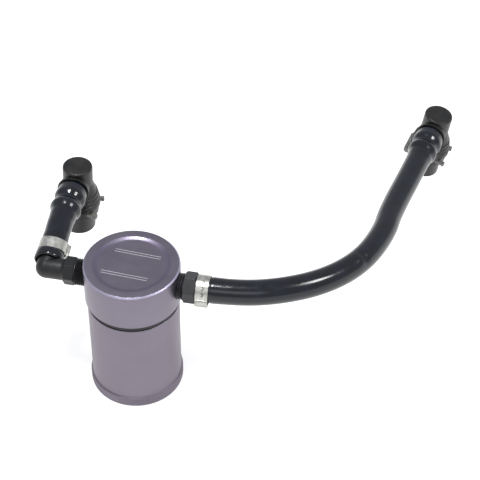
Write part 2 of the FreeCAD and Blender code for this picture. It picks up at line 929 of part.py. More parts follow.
def make_clip(side):
    """The horseshoe clip that locks the tube's bead: two legs and a head on the left."""
    body = new_body(f"{side}_clip")
    outer = s.clip_inner + s.clip_thick
    leg_start = -s.clip_back - s.clip_head
    form(
        body,
        "AdditiveBox",
        f"{side}_clip_head",
        (leg_start, -outer, clip_bottom),
        Length=s.clip_head,
        Width=outer * 2,
        Height=s.clip_height,
    )
    for name, start in (("back", s.clip_inner), ("front", -outer)):
        form(
            body,
            "AdditiveBox",
            f"{side}_{name}_leg",
            (leg_start, start, clip_bottom),
            Length=s.clip_tip - leg_start,
            Width=s.clip_thick,
            Height=s.clip_height,
        )
    for name, start in (("back", outer - s.clip_nib), ("front", -outer - s.clip_nib)):
        form(
            body,
            "AdditiveBox",
            f"{side}_{name}_nib",
            (s.clip_tip - s.nib_length, start, clip_bottom),
            Length=s.nib_length,
            Width=s.clip_nib * 2,
            Height=s.clip_height,
        )
    return body


def make_ring(label, inner, outer, bottom, top):
    body = new_body(label)
    corners = ((inner, bottom), (outer, bottom), (outer, top), (inner, top))
    turn_profile(body, f"{label}_section", corners)
    return body


def make_oring(label):
    """A round rubber seal that fills the packing bore up to the tube's guide bore."""
    ring = doc.addObject("Part::Torus", f"{label}_torus")
    ring.Label = label
    bind(ring, "Radius1", packing_fit - s.oring_section)
    bind(ring, "Radius2", s.oring_section)
    return ring


def connector_frame(route, start, lean):
    """Where a connector stands: its crossing point and its rotation."""
    points = route_points(route)
    travel = (points[-1] - points[-2]).normalize()
    end = moved(start, points[-1], 1)
    crossing = moved(end, travel, s.arm_length)
    side = travel.cross(Vector(0, 0, 1)).normalize()
    level = Rotation(side, travel, side.cross(travel), "YXZ")
    return crossing, level.multiply(Rotation(Vector(0, 1, 0), lean))


def make_connector_set(side, route, start, lean):
    """A quick connector with its clip, seals, spacer and bush, set on the end of its hose."""
    crossing, rotation = connector_frame(route, start, lean)
    clear = s.socket_radius + s.bush_gap
    made = [
        make_connector(side),
        make_clip(side),
        make_ring(f"{side}_spacer", clear, packing_fit, spacer_bottom, spacer_top),
        make_ring(f"{side}_bush", clear, packing_fit, packing_end, bush_top),
    ]
    for piece in made:
        place(piece, crossing, rotation)
    upwards = rotation.multVec(Vector(0, 0, 1))
    for name, level in (("front_seal", front_seal_level), ("rear_seal", rear_seal_level)):
        ring = make_oring(f"{side}_{name}")
        place(ring, moved(crossing, upwards, level), rotation)
        made.append(ring)
    return made


pieces = [make_can(), make_seal(), make_cap(), make_inlet_tube()]
pieces += [make_mesh_pack(), make_screen_plate(), make_snap_ring()]
pieces += [make_left_elbow(), make_right_fitting()]
for side, route, start, setback, ear, marks, skew, lean in (
    ("left", LEFT_ROUTE, left_start, s.left_clamp_set, LEFT_EAR, LEFT_MARKS, LEFT_SKEW, LEFT_LEAN),
    (
        "right",
        RIGHT_ROUTE,
        right_start,
        s.right_clamp_set,
        RIGHT_EAR,
        RIGHT_MARKS,
        RIGHT_SKEW,
        RIGHT_LEAN,
    ),
):
    pieces.append(make_hose(f"{side}_hose", route, start))
    pieces.append(make_clamp(f"{side}_clamp", route, start, setback, ear, marks, skew))
    pieces += make_connector_set(side, route, start, lean)
doc.recompute()

# Every object and every piece is sound before anything is written
for thing in doc.Objects:
    if "Invalid" in thing.State or "Error" in thing.State:
        raise RuntimeError(f"{thing.Name} failed: {thing.State}")
for piece in pieces:
    if piece.Shape.isNull() or not piece.Shape.isValid() or len(piece.Shape.Solids) != 1:
        raise RuntimeError(f"{piece.Label} isn't one valid solid")

os.makedirs("parts", exist_ok=True)
for piece in pieces:
    piece.Shape.exportStep(f"parts/{piece.Label}.step")
    print(f"{piece.Label}: {piece.Shape.Volume:.0f} mm3")
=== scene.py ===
import json
import math

import bmesh
import bpy
import numpy as np
from mathutils import Matrix, Vector


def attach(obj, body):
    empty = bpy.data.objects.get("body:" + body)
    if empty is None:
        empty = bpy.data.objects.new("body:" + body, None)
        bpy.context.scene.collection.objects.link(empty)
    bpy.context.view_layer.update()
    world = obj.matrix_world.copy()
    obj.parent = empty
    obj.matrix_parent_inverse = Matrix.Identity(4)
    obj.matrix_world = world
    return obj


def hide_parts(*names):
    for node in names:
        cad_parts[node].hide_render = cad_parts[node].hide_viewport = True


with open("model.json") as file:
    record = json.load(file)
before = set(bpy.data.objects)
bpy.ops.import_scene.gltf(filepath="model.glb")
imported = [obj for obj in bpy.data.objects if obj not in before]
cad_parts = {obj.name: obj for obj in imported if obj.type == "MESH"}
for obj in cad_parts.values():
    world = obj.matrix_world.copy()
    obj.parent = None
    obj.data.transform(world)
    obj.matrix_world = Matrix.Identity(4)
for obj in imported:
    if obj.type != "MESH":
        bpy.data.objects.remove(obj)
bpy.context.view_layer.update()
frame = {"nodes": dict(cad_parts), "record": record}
nodes = frame["nodes"]
scene = bpy.context.scene
MM = 0.001

# The studio: a pale seamless floor under the can and the photograph's own viewpoint.
# Two small flash heads hang overhead and one wide soft box stands behind the camera,
# which gives the paired glints on the rubber and the bright turned edge of the cap.


def linear(colour):
    """A hex sRGB colour as the linear values that a socket takes."""
    parts = [int(colour[at:at + 2], 16) / 255 for at in (1, 3, 5)]
    flat = [p / 12.92 if p <= 0.04045 else ((p + 0.055) / 1.055) ** 2.4 for p in parts]
    return (*flat, 1.0)


def feed(node, feeds):
    """Feeds a node's sockets with values, with sockets or with the first output of other nodes."""
    for name, value in feeds.items():
        if isinstance(value, bpy.types.Node):
            value = next(socket for socket in value.outputs if socket.enabled)
        if isinstance(value, bpy.types.NodeSocket):
            node.id_data.links.new(value, node.inputs[name])
        else:
            node.inputs[name].default_value = value
    return node


def add_node(tree, kind, feeds=None, **settings):
    """Adds a node to a tree, sets it up and feeds it."""
    node = tree.nodes.new(kind)
    for name, value in settings.items():
        setattr(node, name, value)
    return feed(node, feeds or {})


def new_finish(name, **surface):
    """A material with one surface shader, whose constants sit on its own sockets."""
    material = bpy.data.materials.new(name)
    material.use_nodes = True
    tree = material.node_tree
    tree.nodes.clear()
    feeds = {key.replace("_", " "): value for key, value in surface.items()}
    shader = add_node(tree, "ShaderNodeBsdfPrincipled", feeds)
    add_node(tree, "ShaderNodeOutputMaterial", {"Surface": shader})
    return material, tree, shader


def shown(name, mesh):
    """Puts a mesh in the scene as a piece of that name."""
    piece = bpy.data.objects.new(name, mesh)
    scene.collection.objects.link(piece)
    return piece


camera_data = bpy.data.cameras.new("camera")
camera_data.lens = 112.5
camera_data.sensor_width = 36
camera_data.clip_start = 0.05
camera = shown("camera", camera_data)
eye = Vector((0.188122, -0.664118, 0.791889))
sight = Vector((-0.12487733, 0.70821454, -0.69486532))
rightwards = Vector((0.98317176, 0.18244858, 0.00926348))
upwards = Vector((-0.13333772, 0.68201516, 0.71908023))
aimed = Matrix((rightwards, upwards, -sight)).transposed().to_4x4()
camera.matrix_world = Matrix.Translation(eye) @ aimed
scene.camera = camera

floor_mesh = bpy.data.meshes.new("studio_floor")
edge = 9.0
floor_mesh.from_pydata(
    [(-edge, -edge, 0), (edge, -edge, 0), (edge, edge, 0), (-edge, edge, 0)], [], [(0, 1, 2, 3)]
)
floor = shown("studio_floor", floor_mesh)
# Seamless paper: matt and off-white, lit a little from within so that it comes out white.
paper, tree, shader = new_finish(
    "seamless_paper", Roughness=0.9, Emission_Color=linear("#FFFFFF"), Emission_Strength=0.72
)
grain = add_node(tree, "ShaderNodeTexNoise", {"Scale": 60.0, "Detail": 3.0})
tint = add_node(
    tree, "ShaderNodeMix",
    {"Factor": grain, "A": linear("#B4B4B3"), "B": linear("#B9B9B8")},
    data_type="RGBA",
)
feed(shader, {"Base Color": tint})
floor_mesh.materials.append(paper)

world = bpy.data.worlds.new("studio")
world.use_nodes = True
world.node_tree.nodes["Background"].inputs["Color"].default_value = linear("#EBEDF4")
world.node_tree.nodes["Background"].inputs["Strength"].default_value = 0.7
scene.world = world
scene.view_settings.view_transform = "Standard"

middle = Vector((0.06, 0.06, 0.08))
for name, place, width, height, power in (
    ("flash_left", (-0.14, -0.06, 1.08), 0.14, 0.14, 6.0),
    ("flash_right", (0.78, -0.04, 0.95), 0.26, 0.26, 5.0),
    ("soft_box_front", (0.05, -1.2, 1.15), 1.3, 0.6, 3.0),
):
    lamp = bpy.data.lights.new(name, "AREA")
    lamp.shape = "RECTANGLE"
    lamp.size = width
    lamp.size_y = height
    lamp.energy = power
    stand = shown(name, lamp)
    aim = middle - Vector(place)
    stand.matrix_world = Matrix.Translation(place) @ aim.to_track_quat("-Z", "Y").to_matrix().to_4x4()

# Right hose: half-inch bore rubber hose, extruded and cut to length, pushed on the can's
# straight fitting and on the barbed arm of its quick connector. It is stiff enough to stand
# out from the can by itself. Its skin is smooth and glossy, and the barbs swell its end.


def read_line(name, route):
    """The smooth line of a hose's route, as the points of a curve with no bevel."""
    curve = bpy.data.curves.new(name, "CURVE")
    curve.dimensions = "3D"
    spline = curve.splines.new("NURBS")
    spline.points.add(len(route) - 1)
    for point, place in zip(spline.points, route):
        point.co = (*(at * MM for at in place), 1)
    spline.order_u = 3
    spline.use_endpoint_u = True
    spline.resolution_u = 48
    holder = shown(name, curve)
    bpy.context.view_layer.update()
    plain = bpy.data.meshes.new_from_object(
        holder.evaluated_get(bpy.context.evaluated_depsgraph_get())
    )
    line = np.array([tuple(vertex.co) for vertex in plain.vertices])
    bpy.data.objects.remove(holder)
    bpy.data.meshes.remove(plain)
    return line


class Line:
    """A hose's line with a place, a direction and a level side at any distance along it."""

    def __init__(self, points):
        self.points = points
        steps = np.linalg.norm(np.diff(points, axis=0), axis=1)
        self.run = np.concatenate([[0], np.cumsum(steps)])
        self.length = self.run[-1]

    def place(self, inside):
        return np.array([np.interp(inside, self.run, self.points[:, n]) for n in range(3)])

    def heading(self, inside):
        low, high = max(inside - MM, 0), min(inside + MM, self.length)
        ahead = self.place(high) - self.place(low)
        return ahead / np.linalg.norm(ahead)

    def at(self, distance):
        inside = min(max(distance, 0.0), self.length)
        ahead = self.heading(inside)
        side = np.cross(ahead, (0, 0, 1))
        side /= np.linalg.norm(side)
        return self.place(inside) + ahead * (distance - inside), ahead, side, np.cross(side, ahead)


def mark_edges(mesh, limit=32.0):
    """Smooth shading, broken only at edges sharper than the limit in degrees."""
    work = bmesh.new()
    work.from_mesh(mesh)
    for face in work.faces:
        face.smooth = True
    for seam in work.edges:
        seam.smooth = len(seam.link_faces) != 2 or seam.calc_face_angle() < math.radians(limit)
    work.to_mesh(mesh)
    work.free()
    return mesh


def outwards(mesh):
    """Turns every face of a closed mesh outwards."""
    work = bmesh.new()
    work.from_mesh(mesh)
    bmesh.ops.recalc_face_normals(work, faces=work.faces)
    work.to_mesh(mesh)
    work.free()
    return mesh


def wrapped(rings, wide):
    """The faces between rings of corners, where the last ring joins the first."""
    faces = []
    for ring in range(rings):
        here, after = ring * wide, (ring + 1) % rings * wide
        for step in range(wide):
            onward = (step + 1) % wide
            faces.append((here + step, after + step, after + onward, here + onward))
    return faces


def hose_skin(name, line, bore, girth, start=0.0, stop=None, around=72):
    """A closed rubber tube: its outside, a rounded rim at each end, and its bore."""
    stop = line.length if stop is None else stop
    first, last = girth(start, 0.0), girth(stop, 0.0)
    outside = np.linspace(start + 0.8 * MM, stop - 0.8 * MM, int((stop - start) / (0.9 * MM)))
    inside = np.linspace(stop - 0.4 * MM, start + 0.4 * MM, max(8, int((stop - start) / (4 * MM))))
    section = [
        (start, bore(start) + 0.4 * MM),
        (start, first - 0.75 * MM),
        (start + 0.25 * MM, first - 0.2 * MM),
        *((distance, None) for distance in outside),
        (stop - 0.25 * MM, last - 0.2 * MM),
        (stop, last - 0.75 * MM),
        (stop, bore(stop) + 0.4 * MM),
        *((distance, bore(distance)) for distance in inside),
    ]
    corners, turns = [], np.arange(around) * 2 * math.pi / around
    for distance, radius in section:
        place, _, side, rise = line.at(distance)
        for turn in turns:
            reach = girth(distance, turn) if radius is None else radius
            corners.append(tuple(place + reach * (math.cos(turn) * side + math.sin(turn) * rise)))
    marks = []
    for (here, _), (after, _) in zip(section, section[1:] + section[:1]):
        for step in range(around):
            low, high = step / around, (step + 1) / around
            marks += [(here, low), (after, low), (after, high), (here, high)]
    mesh = bpy.data.meshes.new(name)
    mesh.from_pydata(corners, [], wrapped(len(section), around))
    layer = mesh.uv_layers.new(name="along_and_round")
    layer.data.foreach_set("uv", np.array(marks, dtype=np.float32).ravel())
    return mark_edges(outwards(mesh), 50)


def eased(distance, knots):
    """A value read from (distance, value) knots in millimetres, with soft turns between them."""
    places, values = [k[0] * MM for k in knots], [k[1] * MM for k in knots]
    if distance <= places[0]:
        return values[0]
    for n in range(len(knots) - 1):
        if distance <= places[n + 1]:
            share = (distance - places[n]) / (places[n + 1] - places[n])
            share = share * share * (3 - 2 * share)
            return values[n] + (values[n + 1] - values[n]) * share
    return values[-1]


# Over the connector's barbs: distance from the hose's end, then its outside radius
OVER_BARBS = (
    (0, 10.0), (2.5, 10.35), (8.2, 10.75), (12.9, 8.95), (18.8, 10.75), (24.6, 9.1), (32, 8.7),
    (44, 8.6),
)

# Rubber, extruded: near-black with a blue cast, smooth and glossy, IOR about 1.52. Faint draw
# lines run along it, about 0.6 mm apart, and a bloom of fine dust dulls it in 8 mm patches.
rubber, tree, shader = new_finish("extruded_rubber", IOR=1.52, Specular_IOR_Level=0.5)
spot = add_node(tree, "ShaderNodeTexCoord").outputs
stretched = add_node(tree, "ShaderNodeMapping", {"Vector": spot["UV"], "Scale": (14.0, 90.0, 1.0)})
draw_lines = add_node(tree, "ShaderNodeTexNoise", {"Vector": stretched, "Scale": 1.0, "Detail": 4.0})
bloom = add_node(
    tree, "ShaderNodeTexNoise",
    {"Vector": spot["Object"], "Scale": 0.13 / MM, "Detail": 6.0, "Roughness": 0.62},
)
dust = add_node(
    tree, "ShaderNodeTexNoise", {"Vector": spot["Object"], "Scale": 2.6 / MM, "Detail": 2.0}
)
patches = add_node(tree, "ShaderNodeMapRange", {"Value": bloom, "From Min": 0.42, "From Max": 0.72})
specks = add_node(
    tree, "ShaderNodeMapRange", {"Value": dust, "From Min": 0.66, "From Max": 0.78, "To Max": 0.35}
)
tone = add_node(
    tree, "ShaderNodeMix",
    {"Factor": patches, "A": linear("#04060D"), "B": linear("#0B1020")},
    data_type="RGBA",
)
dusted = add_node(
    tree, "ShaderNodeMix", {"Factor": specks, "A": tone, "B": linear("#22252E")}, data_type="RGBA"
)
gloss = add_node(
    tree, "ShaderNodeMapRange",
    {"Value": bloom, "From Min": 0.3, "From Max": 0.75, "To Min": 0.13, "To Max": 0.24},
)
relief = add_node(
    tree, "ShaderNodeBump", {"Height": draw_lines, "Strength": 0.25, "Distance": 0.12 * MM}
)
feed(shader, {"Base Color": dusted, "Roughness": gloss, "Normal": relief})

BORE = 6.35
right_route = (
    (43.0, 0.0, 91.4),
    (66.0, 0.0, 91.4),
    (94.9, 7.1, 91.1),
    (123.8, 24.6, 88.8),
    (144.9, 50.8, 85.9),
    (156.0, 82.9, 83.7),
    (158.2, 108.1, 81.6),
    (168.0, 152.6, 79.4),
    (177.6, 196.8, 79.0),
)
right_line = Line(read_line("right_hose_line", right_route))


def right_girth(distance, turn):
    """Pinched by its clamp, a little oval and once wrinkled in its bend, swollen over the barbs."""
    bend_at, bend_spread, wrinkle_turn, wrinkle_spread = 0.125, 0.045, 1.05, 0.55
    dent_at, dent_spread, ridge_at, ridge_spread = 0.1175, 0.0024, 0.1125, 0.0026
    pinch = eased(distance, ((0, 0), (8.8, -0.12), (10.5, 0.16), (15, 0.1), (20, 0)))
    bend = math.exp(-(((distance - bend_at) / bend_spread) ** 2))
    oval = 1 + 0.035 * bend * math.cos(2 * (turn - math.pi / 2))
    away = math.remainder(turn - wrinkle_turn, 2 * math.pi) / wrinkle_spread
    dent = math.exp(-(((distance - dent_at) / dent_spread) ** 2) - away ** 2)
    ridge = math.exp(-(((distance - ridge_at) / ridge_spread) ** 2) - away ** 2)
    wrinkle = (0.4 * ridge - 0.6 * dent) * MM
    return (eased(right_line.length - distance, OVER_BARBS) + pinch) * oval + wrinkle


right_hose = shown(
    "right_hose_rubber",
    hose_skin("right_hose_rubber", right_line, lambda distance: BORE * MM, right_girth),
)
right_hose.data.materials.append(rubber)
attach(right_hose, "cap_side")
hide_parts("right_hose")

# Left hose: a short length of the same hose between the elbow and its connector. Its end is
# belled where it is pushed over the elbow's collar, and both connector barbs show through it.
left_route = (
    (-58.15, 8.0, 92.667),
    (-58.15, 24.7, 95.317),
    (-58.5, 40.5, 98.167),
    (-58.15, 68.8, 97.617),
)
left_line = Line(read_line("left_hose_line", left_route))


def left_girth(distance, turn):
    """Belled over the collar, pinched by its clamp and swollen over the connector's barbs."""
    belled = (
        (-3.8, 9.5), (-2.6, 9.75), (1.5, 9.7), (4.2, 8.62), (13.2, 8.55), (15, 8.75), (20, 8.6),
    )
    end = eased(distance, belled)
    over = eased(left_line.length - distance, OVER_BARBS)
    return max(end, over) if distance > 20 * MM else end


left_hose = shown(
    "left_hose_rubber",
    hose_skin(
        "left_hose_rubber",
        left_line,
        lambda distance: eased(distance, ((0, 8.5), (1.8, 8.5), (4.5, BORE), (9, BORE))),
        left_girth,
        start=-3.8 * MM,
    ),
)
left_hose.data.materials.append(rubber)
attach(left_hose, "cap_side")
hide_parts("left_hose")

# Clamps: stainless strip, rolled into a ring, hooked into itself through punched windows and
# drawn tight by crimping its ear. The ear's fold lines and the cut edges catch the light.
PORT_LEVEL = 91.4


def set_along(origin=(0, 0, 0), onward=(0, 0, 1), across=(1, 0, 0)):
    """The place and turn of a piece whose axis runs onward, in millimetres."""
    onward = Vector(onward).normalized()
    across = Vector(across)
    across = (across - onward * across.dot(onward)).normalized()
    return Matrix.Translation(Vector(origin) * MM) @ Matrix(
        (across, onward.cross(across), onward)
    ).transposed().to_4x4() @ Matrix.Diagonal((MM, MM, MM, 1))


def skin(name, corners, faces):
    """A closed mesh whose faces point outwards."""
    mesh = bpy.data.meshes.new(name)
    mesh.from_pydata(corners, [], faces)
    return outwards(mesh)


def clamp_band(name, ear_at, skew):
    """The strip with its ear, its overlap and its softened edges."""
    inner, outer, wide = 8.7, 9.5, 8.4
    ear_half, ear_slope, ear_height, lap_start, lap_end = 19.6, 4.0, 1.6, -30.2, 29.6
    folds = (-31, lap_start, -21, -20, -18.6, -17, -15, 15, 17, 18.6, 20, 21, 29, lap_end)
    turns = sorted(set([n * 3.0 for n in range(120)] + [(ear_at + fold) % 360 for fold in folds]))
    corners = []
    for turn in turns:
        off = (turn - ear_at + 180) % 360 - 180
        lift = ear_height * min(max((ear_half - abs(off)) / ear_slope, 0.0), 1.0)
        crown = 0.25 * lift * (1 - (abs(off) / ear_half) ** 2)
        lap = 0.32 if lap_start < off < lap_end else 0.0
        top = outer + lift + crown + lap
        under = inner + 0.02 + max(0.0, lift - 0.3)
        rise = math.radians(turn)
        section = (
            (under, 0.1), (under, wide - 0.1), (under + 0.12, wide), (top - 0.18, wide),
            (top, wide - 0.18), (top, wide * 0.66), (top - 0.03, wide * 0.5), (top, wide * 0.34),
            (top, 0.18), (top - 0.18, 0), (under + 0.12, 0),
        )
        for radius, level in section:
            x, y = radius * math.cos(rise), radius * math.sin(rise)
            corners.append((x, y, level + y * math.tan(math.radians(skew))))
    return skin(name, corners, wrapped(len(turns), len(section)))


def new_tree(name, **inputs):
    """A geometry tree with named inputs, and what its modifier is fed with."""
    tree = bpy.data.node_groups.new(name, "GeometryNodeTree")
    tree.interface.new_socket("Geometry", in_out="OUTPUT", socket_type="NodeSocketGeometry")
    kinds = {float: "NodeSocketFloat", int: "NodeSocketInt", bpy.types.Material: "NodeSocketMaterial"}
    for label, kind in inputs.items():
        tree.interface.new_socket(label.replace("_", " "), in_out="INPUT", socket_type=kinds[kind])
    source = tree.nodes.new("NodeGroupInput")
    return tree, source.outputs


def end_tree(tree, geometry, material):
    """Ends a tree: its instances made real, then given their finish."""
    real = add_node(tree, "GeometryNodeRealizeInstances", {"Geometry": geometry})
    painted = add_node(tree, "GeometryNodeSetMaterial", {"Geometry": real, "Material": material})
    add_node(tree, "NodeGroupOutput", {"Geometry": painted})


def grown(name, tree, matrix, **values):
    """A plain mesh grown by a geometry tree with these values, then set in its place."""
    holder = shown(name, bpy.data.meshes.new(name))
    modifier = holder.modifiers.new(name, "NODES")
    modifier.node_group = tree
    for item in tree.interface.items_tree:
        if item.in_out == "INPUT":
            modifier[item.identifier] = values[item.name.replace(" ", "_")]
    bpy.context.view_layer.update()
    depsgraph = bpy.context.evaluated_depsgraph_get()
    mesh = bpy.data.meshes.new_from_object(holder.evaluated_get(depsgraph))
    holder.modifiers.remove(modifier)
    bpy.data.objects.remove(holder)
    mesh.name = name
    mesh.transform(matrix)
    return mark_edges(mesh)


# One punched hook: a U of strip edge round a small window, repeated along the band
hooks, given = new_tree(
    "punched_hooks",
    Band_radius=float, First_turn=float, Turn_step=float, Hooks=int, Hook_radius=float,
    Lip=float, Level=float, Steel=bpy.types.Material,
)
bow = add_node(
    hooks, "GeometryNodeCurveArc",
    {"Resolution": 12, "Radius": given["Hook radius"], "Start Angle": 0.0, "Sweep Angle": math.pi},
)
lip = add_node(hooks, "GeometryNodeCurvePrimitiveCircle", {"Resolution": 8, "Radius": given["Lip"]})
edge_of_hook = add_node(
    hooks, "GeometryNodeCurveToMesh", {"Curve": bow, "Profile Curve": lip, "Fill Caps": True}
)
stations = add_node(hooks, "GeometryNodeMeshLine", {"Count": given["Hooks"], "Offset": (0.0, 0.0, 0.0)})
number = add_node(hooks, "GeometryNodeInputIndex")
turned_by = add_node(
    hooks, "ShaderNodeMath",
    {0: number, 1: given["Turn step"], 2: given["First turn"]},
    operation="MULTIPLY_ADD",
)
across_band = add_node(hooks, "ShaderNodeMath", {0: turned_by}, operation="COSINE")
up_band = add_node(hooks, "ShaderNodeMath", {0: turned_by}, operation="SINE")
x_at, y_at = (
    add_node(hooks, "ShaderNodeMath", {0: part, 1: given["Band radius"]}, operation="MULTIPLY")
    for part in (across_band, up_band)
)
where = add_node(hooks, "ShaderNodeCombineXYZ", {"X": x_at, "Y": y_at, "Z": given["Level"]})
set_out = add_node(hooks, "GeometryNodeSetPosition", {"Geometry": stations, "Position": where})
quarter_on = add_node(hooks, "ShaderNodeMath", {0: turned_by, 1: math.pi / 2}, operation="ADD")
facing = add_node(hooks, "ShaderNodeCombineXYZ", {"X": math.pi / 2, "Z": quarter_on})
on_band = add_node(
    hooks, "GeometryNodeInstanceOnPoints",
    {"Points": set_out, "Instance": edge_of_hook, "Rotation": facing},
)
end_tree(hooks, on_band, given["Steel"])

# Stainless strip, cold rolled: bright grey metal. Its rolled grain is finer than the eye can see
# and is drawn 1.1 mm wide here so that it shows. Handling dulls it in spots of about 2.4 mm.
strip, tree, shader = new_finish("rolled_stainless_strip", Metallic=1.0)
spot = add_node(tree, "ShaderNodeTexCoord").outputs["Object"]
rolled = add_node(tree, "ShaderNodeTexNoise", {"Vector": spot, "Scale": 0.9 / MM, "Detail": 3.0})
smudge = add_node(tree, "ShaderNodeTexNoise", {"Vector": spot, "Scale": 0.42 / MM, "Detail": 5.0})
tone = add_node(
    tree, "ShaderNodeMix",
    {"Factor": smudge, "A": linear("#8E8E88"), "B": linear("#DAD9D2")},
    data_type="RGBA",
)
dull = add_node(tree, "ShaderNodeMapRange", {"Value": smudge, "To Min": 0.26, "To Max": 0.5})
relief = add_node(tree, "ShaderNodeBump", {"Height": rolled, "Strength": 0.3, "Distance": 0.06 * MM})
feed(shader, {"Base Color": tone, "Roughness": dull, "Normal": relief})


def grained(name, dark, light, scale, detail, rough=None, relief=None, stretch=None, **surface):
    """A finish with one grain, which shades it and may dull it, lift it and run one way."""
    material, tree, shader = new_finish(name, **surface)
    spot = add_node(tree, "ShaderNodeTexCoord").outputs["Object"]
    if stretch:
        spot = add_node(tree, "ShaderNodeMapping", {"Vector": spot, "Scale": stretch})
    grain = add_node(tree, "ShaderNodeTexNoise", {"Vector": spot, "Scale": scale, "Detail": detail})
    tone = add_node(
        tree, "ShaderNodeMix",
        {"Factor": grain, "A": linear(dark), "B": linear(light)},
        data_type="RGBA",
    )
    feed(shader, {"Base Color": tone})
    if rough:
        low, high = rough
        dull = add_node(tree, "ShaderNodeMapRange", {"Value": grain, "To Min": low, "To Max": high})
        feed(shader, {"Roughness": dull})
    if relief:
        lift = add_node(
            tree, "ShaderNodeBump", {"Height": grain, "Strength": 0.2, "Distance": relief * MM}
        )
        feed(shader, {"Normal": lift})
    return material


# The hooks' cut edges are painted dark: painted shade of the windows beside them, with the black
# hose also showing through, and a burr of 0.7 mm breaks up their tone.
window_painted_shade = grained(
    "punched_window_shade", "#1C1C1B", "#4B4B48", 1.5 / MM, 2.0, Metallic=0.3, Roughness=0.6
)

right_clamp_start, left_clamp_start = 43.2, 4.5
right_clamp_set = set_along((right_clamp_start, 0, PORT_LEVEL), (1, 0, 0), (0, 1, 0))
hose_end, left_on = Vector(left_route[0]), Vector(left_route[1]) - Vector(left_route[0])
left_clamp_set = set_along(hose_end + left_on.normalized() * left_clamp_start, left_on, (1, 0, 0))
for side, place, ear_at, skew, first in (
    ("right", right_clamp_set, 215.0, 0.0, 106.0),
    ("left", left_clamp_set, 28.0, 12.0, 100.0),
):
    band = clamp_band(f"{side}_clamp_band", ear_at, skew)
    band.transform(place)
    mark_edges(band, 25)
    piece = shown(f"{side}_clamp_strip", band)
    piece.data.materials.append(strip)
    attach(piece, "cap_side")
    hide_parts(f"{side}_clamp")
    # The hooks wear the painted shade of their windows, not the strip's steel.
    bows = grown(
        f"{side}_clamp_hooks", hooks, place, Band_radius=9.5, First_turn=math.radians(first),
        Turn_step=math.radians(27.0), Hooks=3, Hook_radius=1.1, Lip=0.27, Level=4.2, Steel=window_painted_shade,
    )
    piece = shown(f"{side}_clamp_hooks", bows)
    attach(piece, "cap_side")

# Can: aluminium bar turned into a cup, with a raised grip ring round its foot, then
# anodised in a warm violet grey. The cap's skirt screws into its mouth.


def soften(corners, radius):
    """The same section with each corner but its ends rounded over, as a turning tool leaves it."""
    made = [corners[0]]
    for before, here, after in zip(corners, corners[1:], corners[2:]):
        corner = Vector(here)
        back, ahead = Vector(before) - corner, Vector(after) - corner
        cut = min(radius, back.length * 0.45, ahead.length * 0.45)
        if cut < 1e-6 or back.angle(ahead, math.pi) > math.radians(176):
            made.append(here)
            continue
        a, b = corner + back.normalized() * cut, corner + ahead.normalized() * cut
        for share in (0.0, 0.33, 0.67, 1.0):
            made.append(tuple(a * (1 - share) ** 2 + corner * 2 * share * (1 - share) + b * share ** 2))
    return made + [corners[-1]]


def turned(name, section, matrix, around=128, closed=False):
    """A turned part from its section, as (radius, level) corners in millimetres."""
    corners, rings = [], []
    for radius, level in section:
        if radius < 1e-6:
            rings.append([len(corners)])
            corners.append((0, 0, level))
            continue
        rings.append(list(range(len(corners), len(corners) + around)))
        for step in range(around):
            turn = 2 * math.pi * step / around
            corners.append((radius * math.cos(turn), radius * math.sin(turn), level))
    faces = []
    pairs = list(zip(rings, rings[1:]))
    if closed:
        pairs.append((rings[-1], rings[0]))
    for low, high in pairs:
        for step in range(around):
            after = (step + 1) % around
            loop = [low[step % len(low)], high[step % len(high)]]
            loop += [high[after % len(high)], low[after % len(low)]]
            loop = [c for n, c in enumerate(loop) if c not in loop[:n]]
            if len(loop) > 2:
                faces.append(loop)
    mesh = skin(name, corners, faces)
    mesh.transform(matrix)
    return mark_edges(mesh)


def joined(name, meshes):
    """Several closed shells as one mesh."""
    work = bmesh.new()
    for mesh in meshes:
        work.from_mesh(mesh)
    made = bpy.data.meshes.new(name)
    work.to_mesh(made)
    work.free()
    return mark_edges(made)


can_section = [
    (0, 0), (29.0, 0), (29.4, 0.5), (30.3, 0.5), (30.9, 0), (31.5, 0.6), (31.5, 1.2), (31.35, 1.25),
    (31.35, 7.2), (31.5, 7.25), (31.45, 7.6), (30.5, 8.5), (30.5, 73.1), (30.1, 73.5), (27.5, 73.5),
    (27.5, 7.0), (24.5, 4.0), (0, 4.0),
]
on_axis = set_along()
can = shown("can_cup", turned("can_cup", soften(can_section, 0.22), on_axis, around=160))

# Aluminium, turned, bead blasted and anodised: a satin metal in violet grey. The turning marks
# are 0.1 mm apart, drawn here 0.5 mm apart, and the blasting's fine grain is drawn 0.3 mm wide.


def anodised(name, dark, light, low, high):
    """The finish of one anodised piece; its two colours are a batch's usual spread."""
    material, tree, shader = new_finish(name, Metallic=1.0)
    spot = add_node(tree, "ShaderNodeTexCoord").outputs["Object"]
    blasted = add_node(tree, "ShaderNodeTexNoise", {"Vector": spot, "Scale": 3.2 / MM, "Detail": 2.0})
    ringed = add_node(tree, "ShaderNodeMapping", {"Vector": spot, "Scale": (40.0, 40.0, 2.0 / MM)})
    turning = add_node(tree, "ShaderNodeTexNoise", {"Vector": ringed, "Scale": 1.0, "Detail": 2.0})
    batch = add_node(
        tree, "ShaderNodeTexNoise",
        {"Vector": spot, "Scale": 0.038 / MM, "Detail": 5.0, "Roughness": 0.6},
    )
    spread = add_node(tree, "ShaderNodeMapRange", {"Value": batch, "From Min": 0.35, "From Max": 0.65})
    tone = add_node(
        tree, "ShaderNodeMix",
        {"Factor": spread, "A": linear(dark), "B": linear(light)},
        data_type="RGBA",
    )
    sheen = add_node(
        tree, "ShaderNodeMapRange",
        {"Value": batch, "From Min": 0.3, "From Max": 0.7, "To Min": low, "To Max": high},
    )
    marks = add_node(tree, "ShaderNodeMath", {0: blasted, 1: turning}, operation="ADD")
    relief = add_node(
        tree, "ShaderNodeBump", {"Height": marks, "Strength": 0.22, "Distance": 0.08 * MM}
    )
    feed(shader, {"Base Color": tone, "Roughness": sheen, "Normal": relief})
    return material


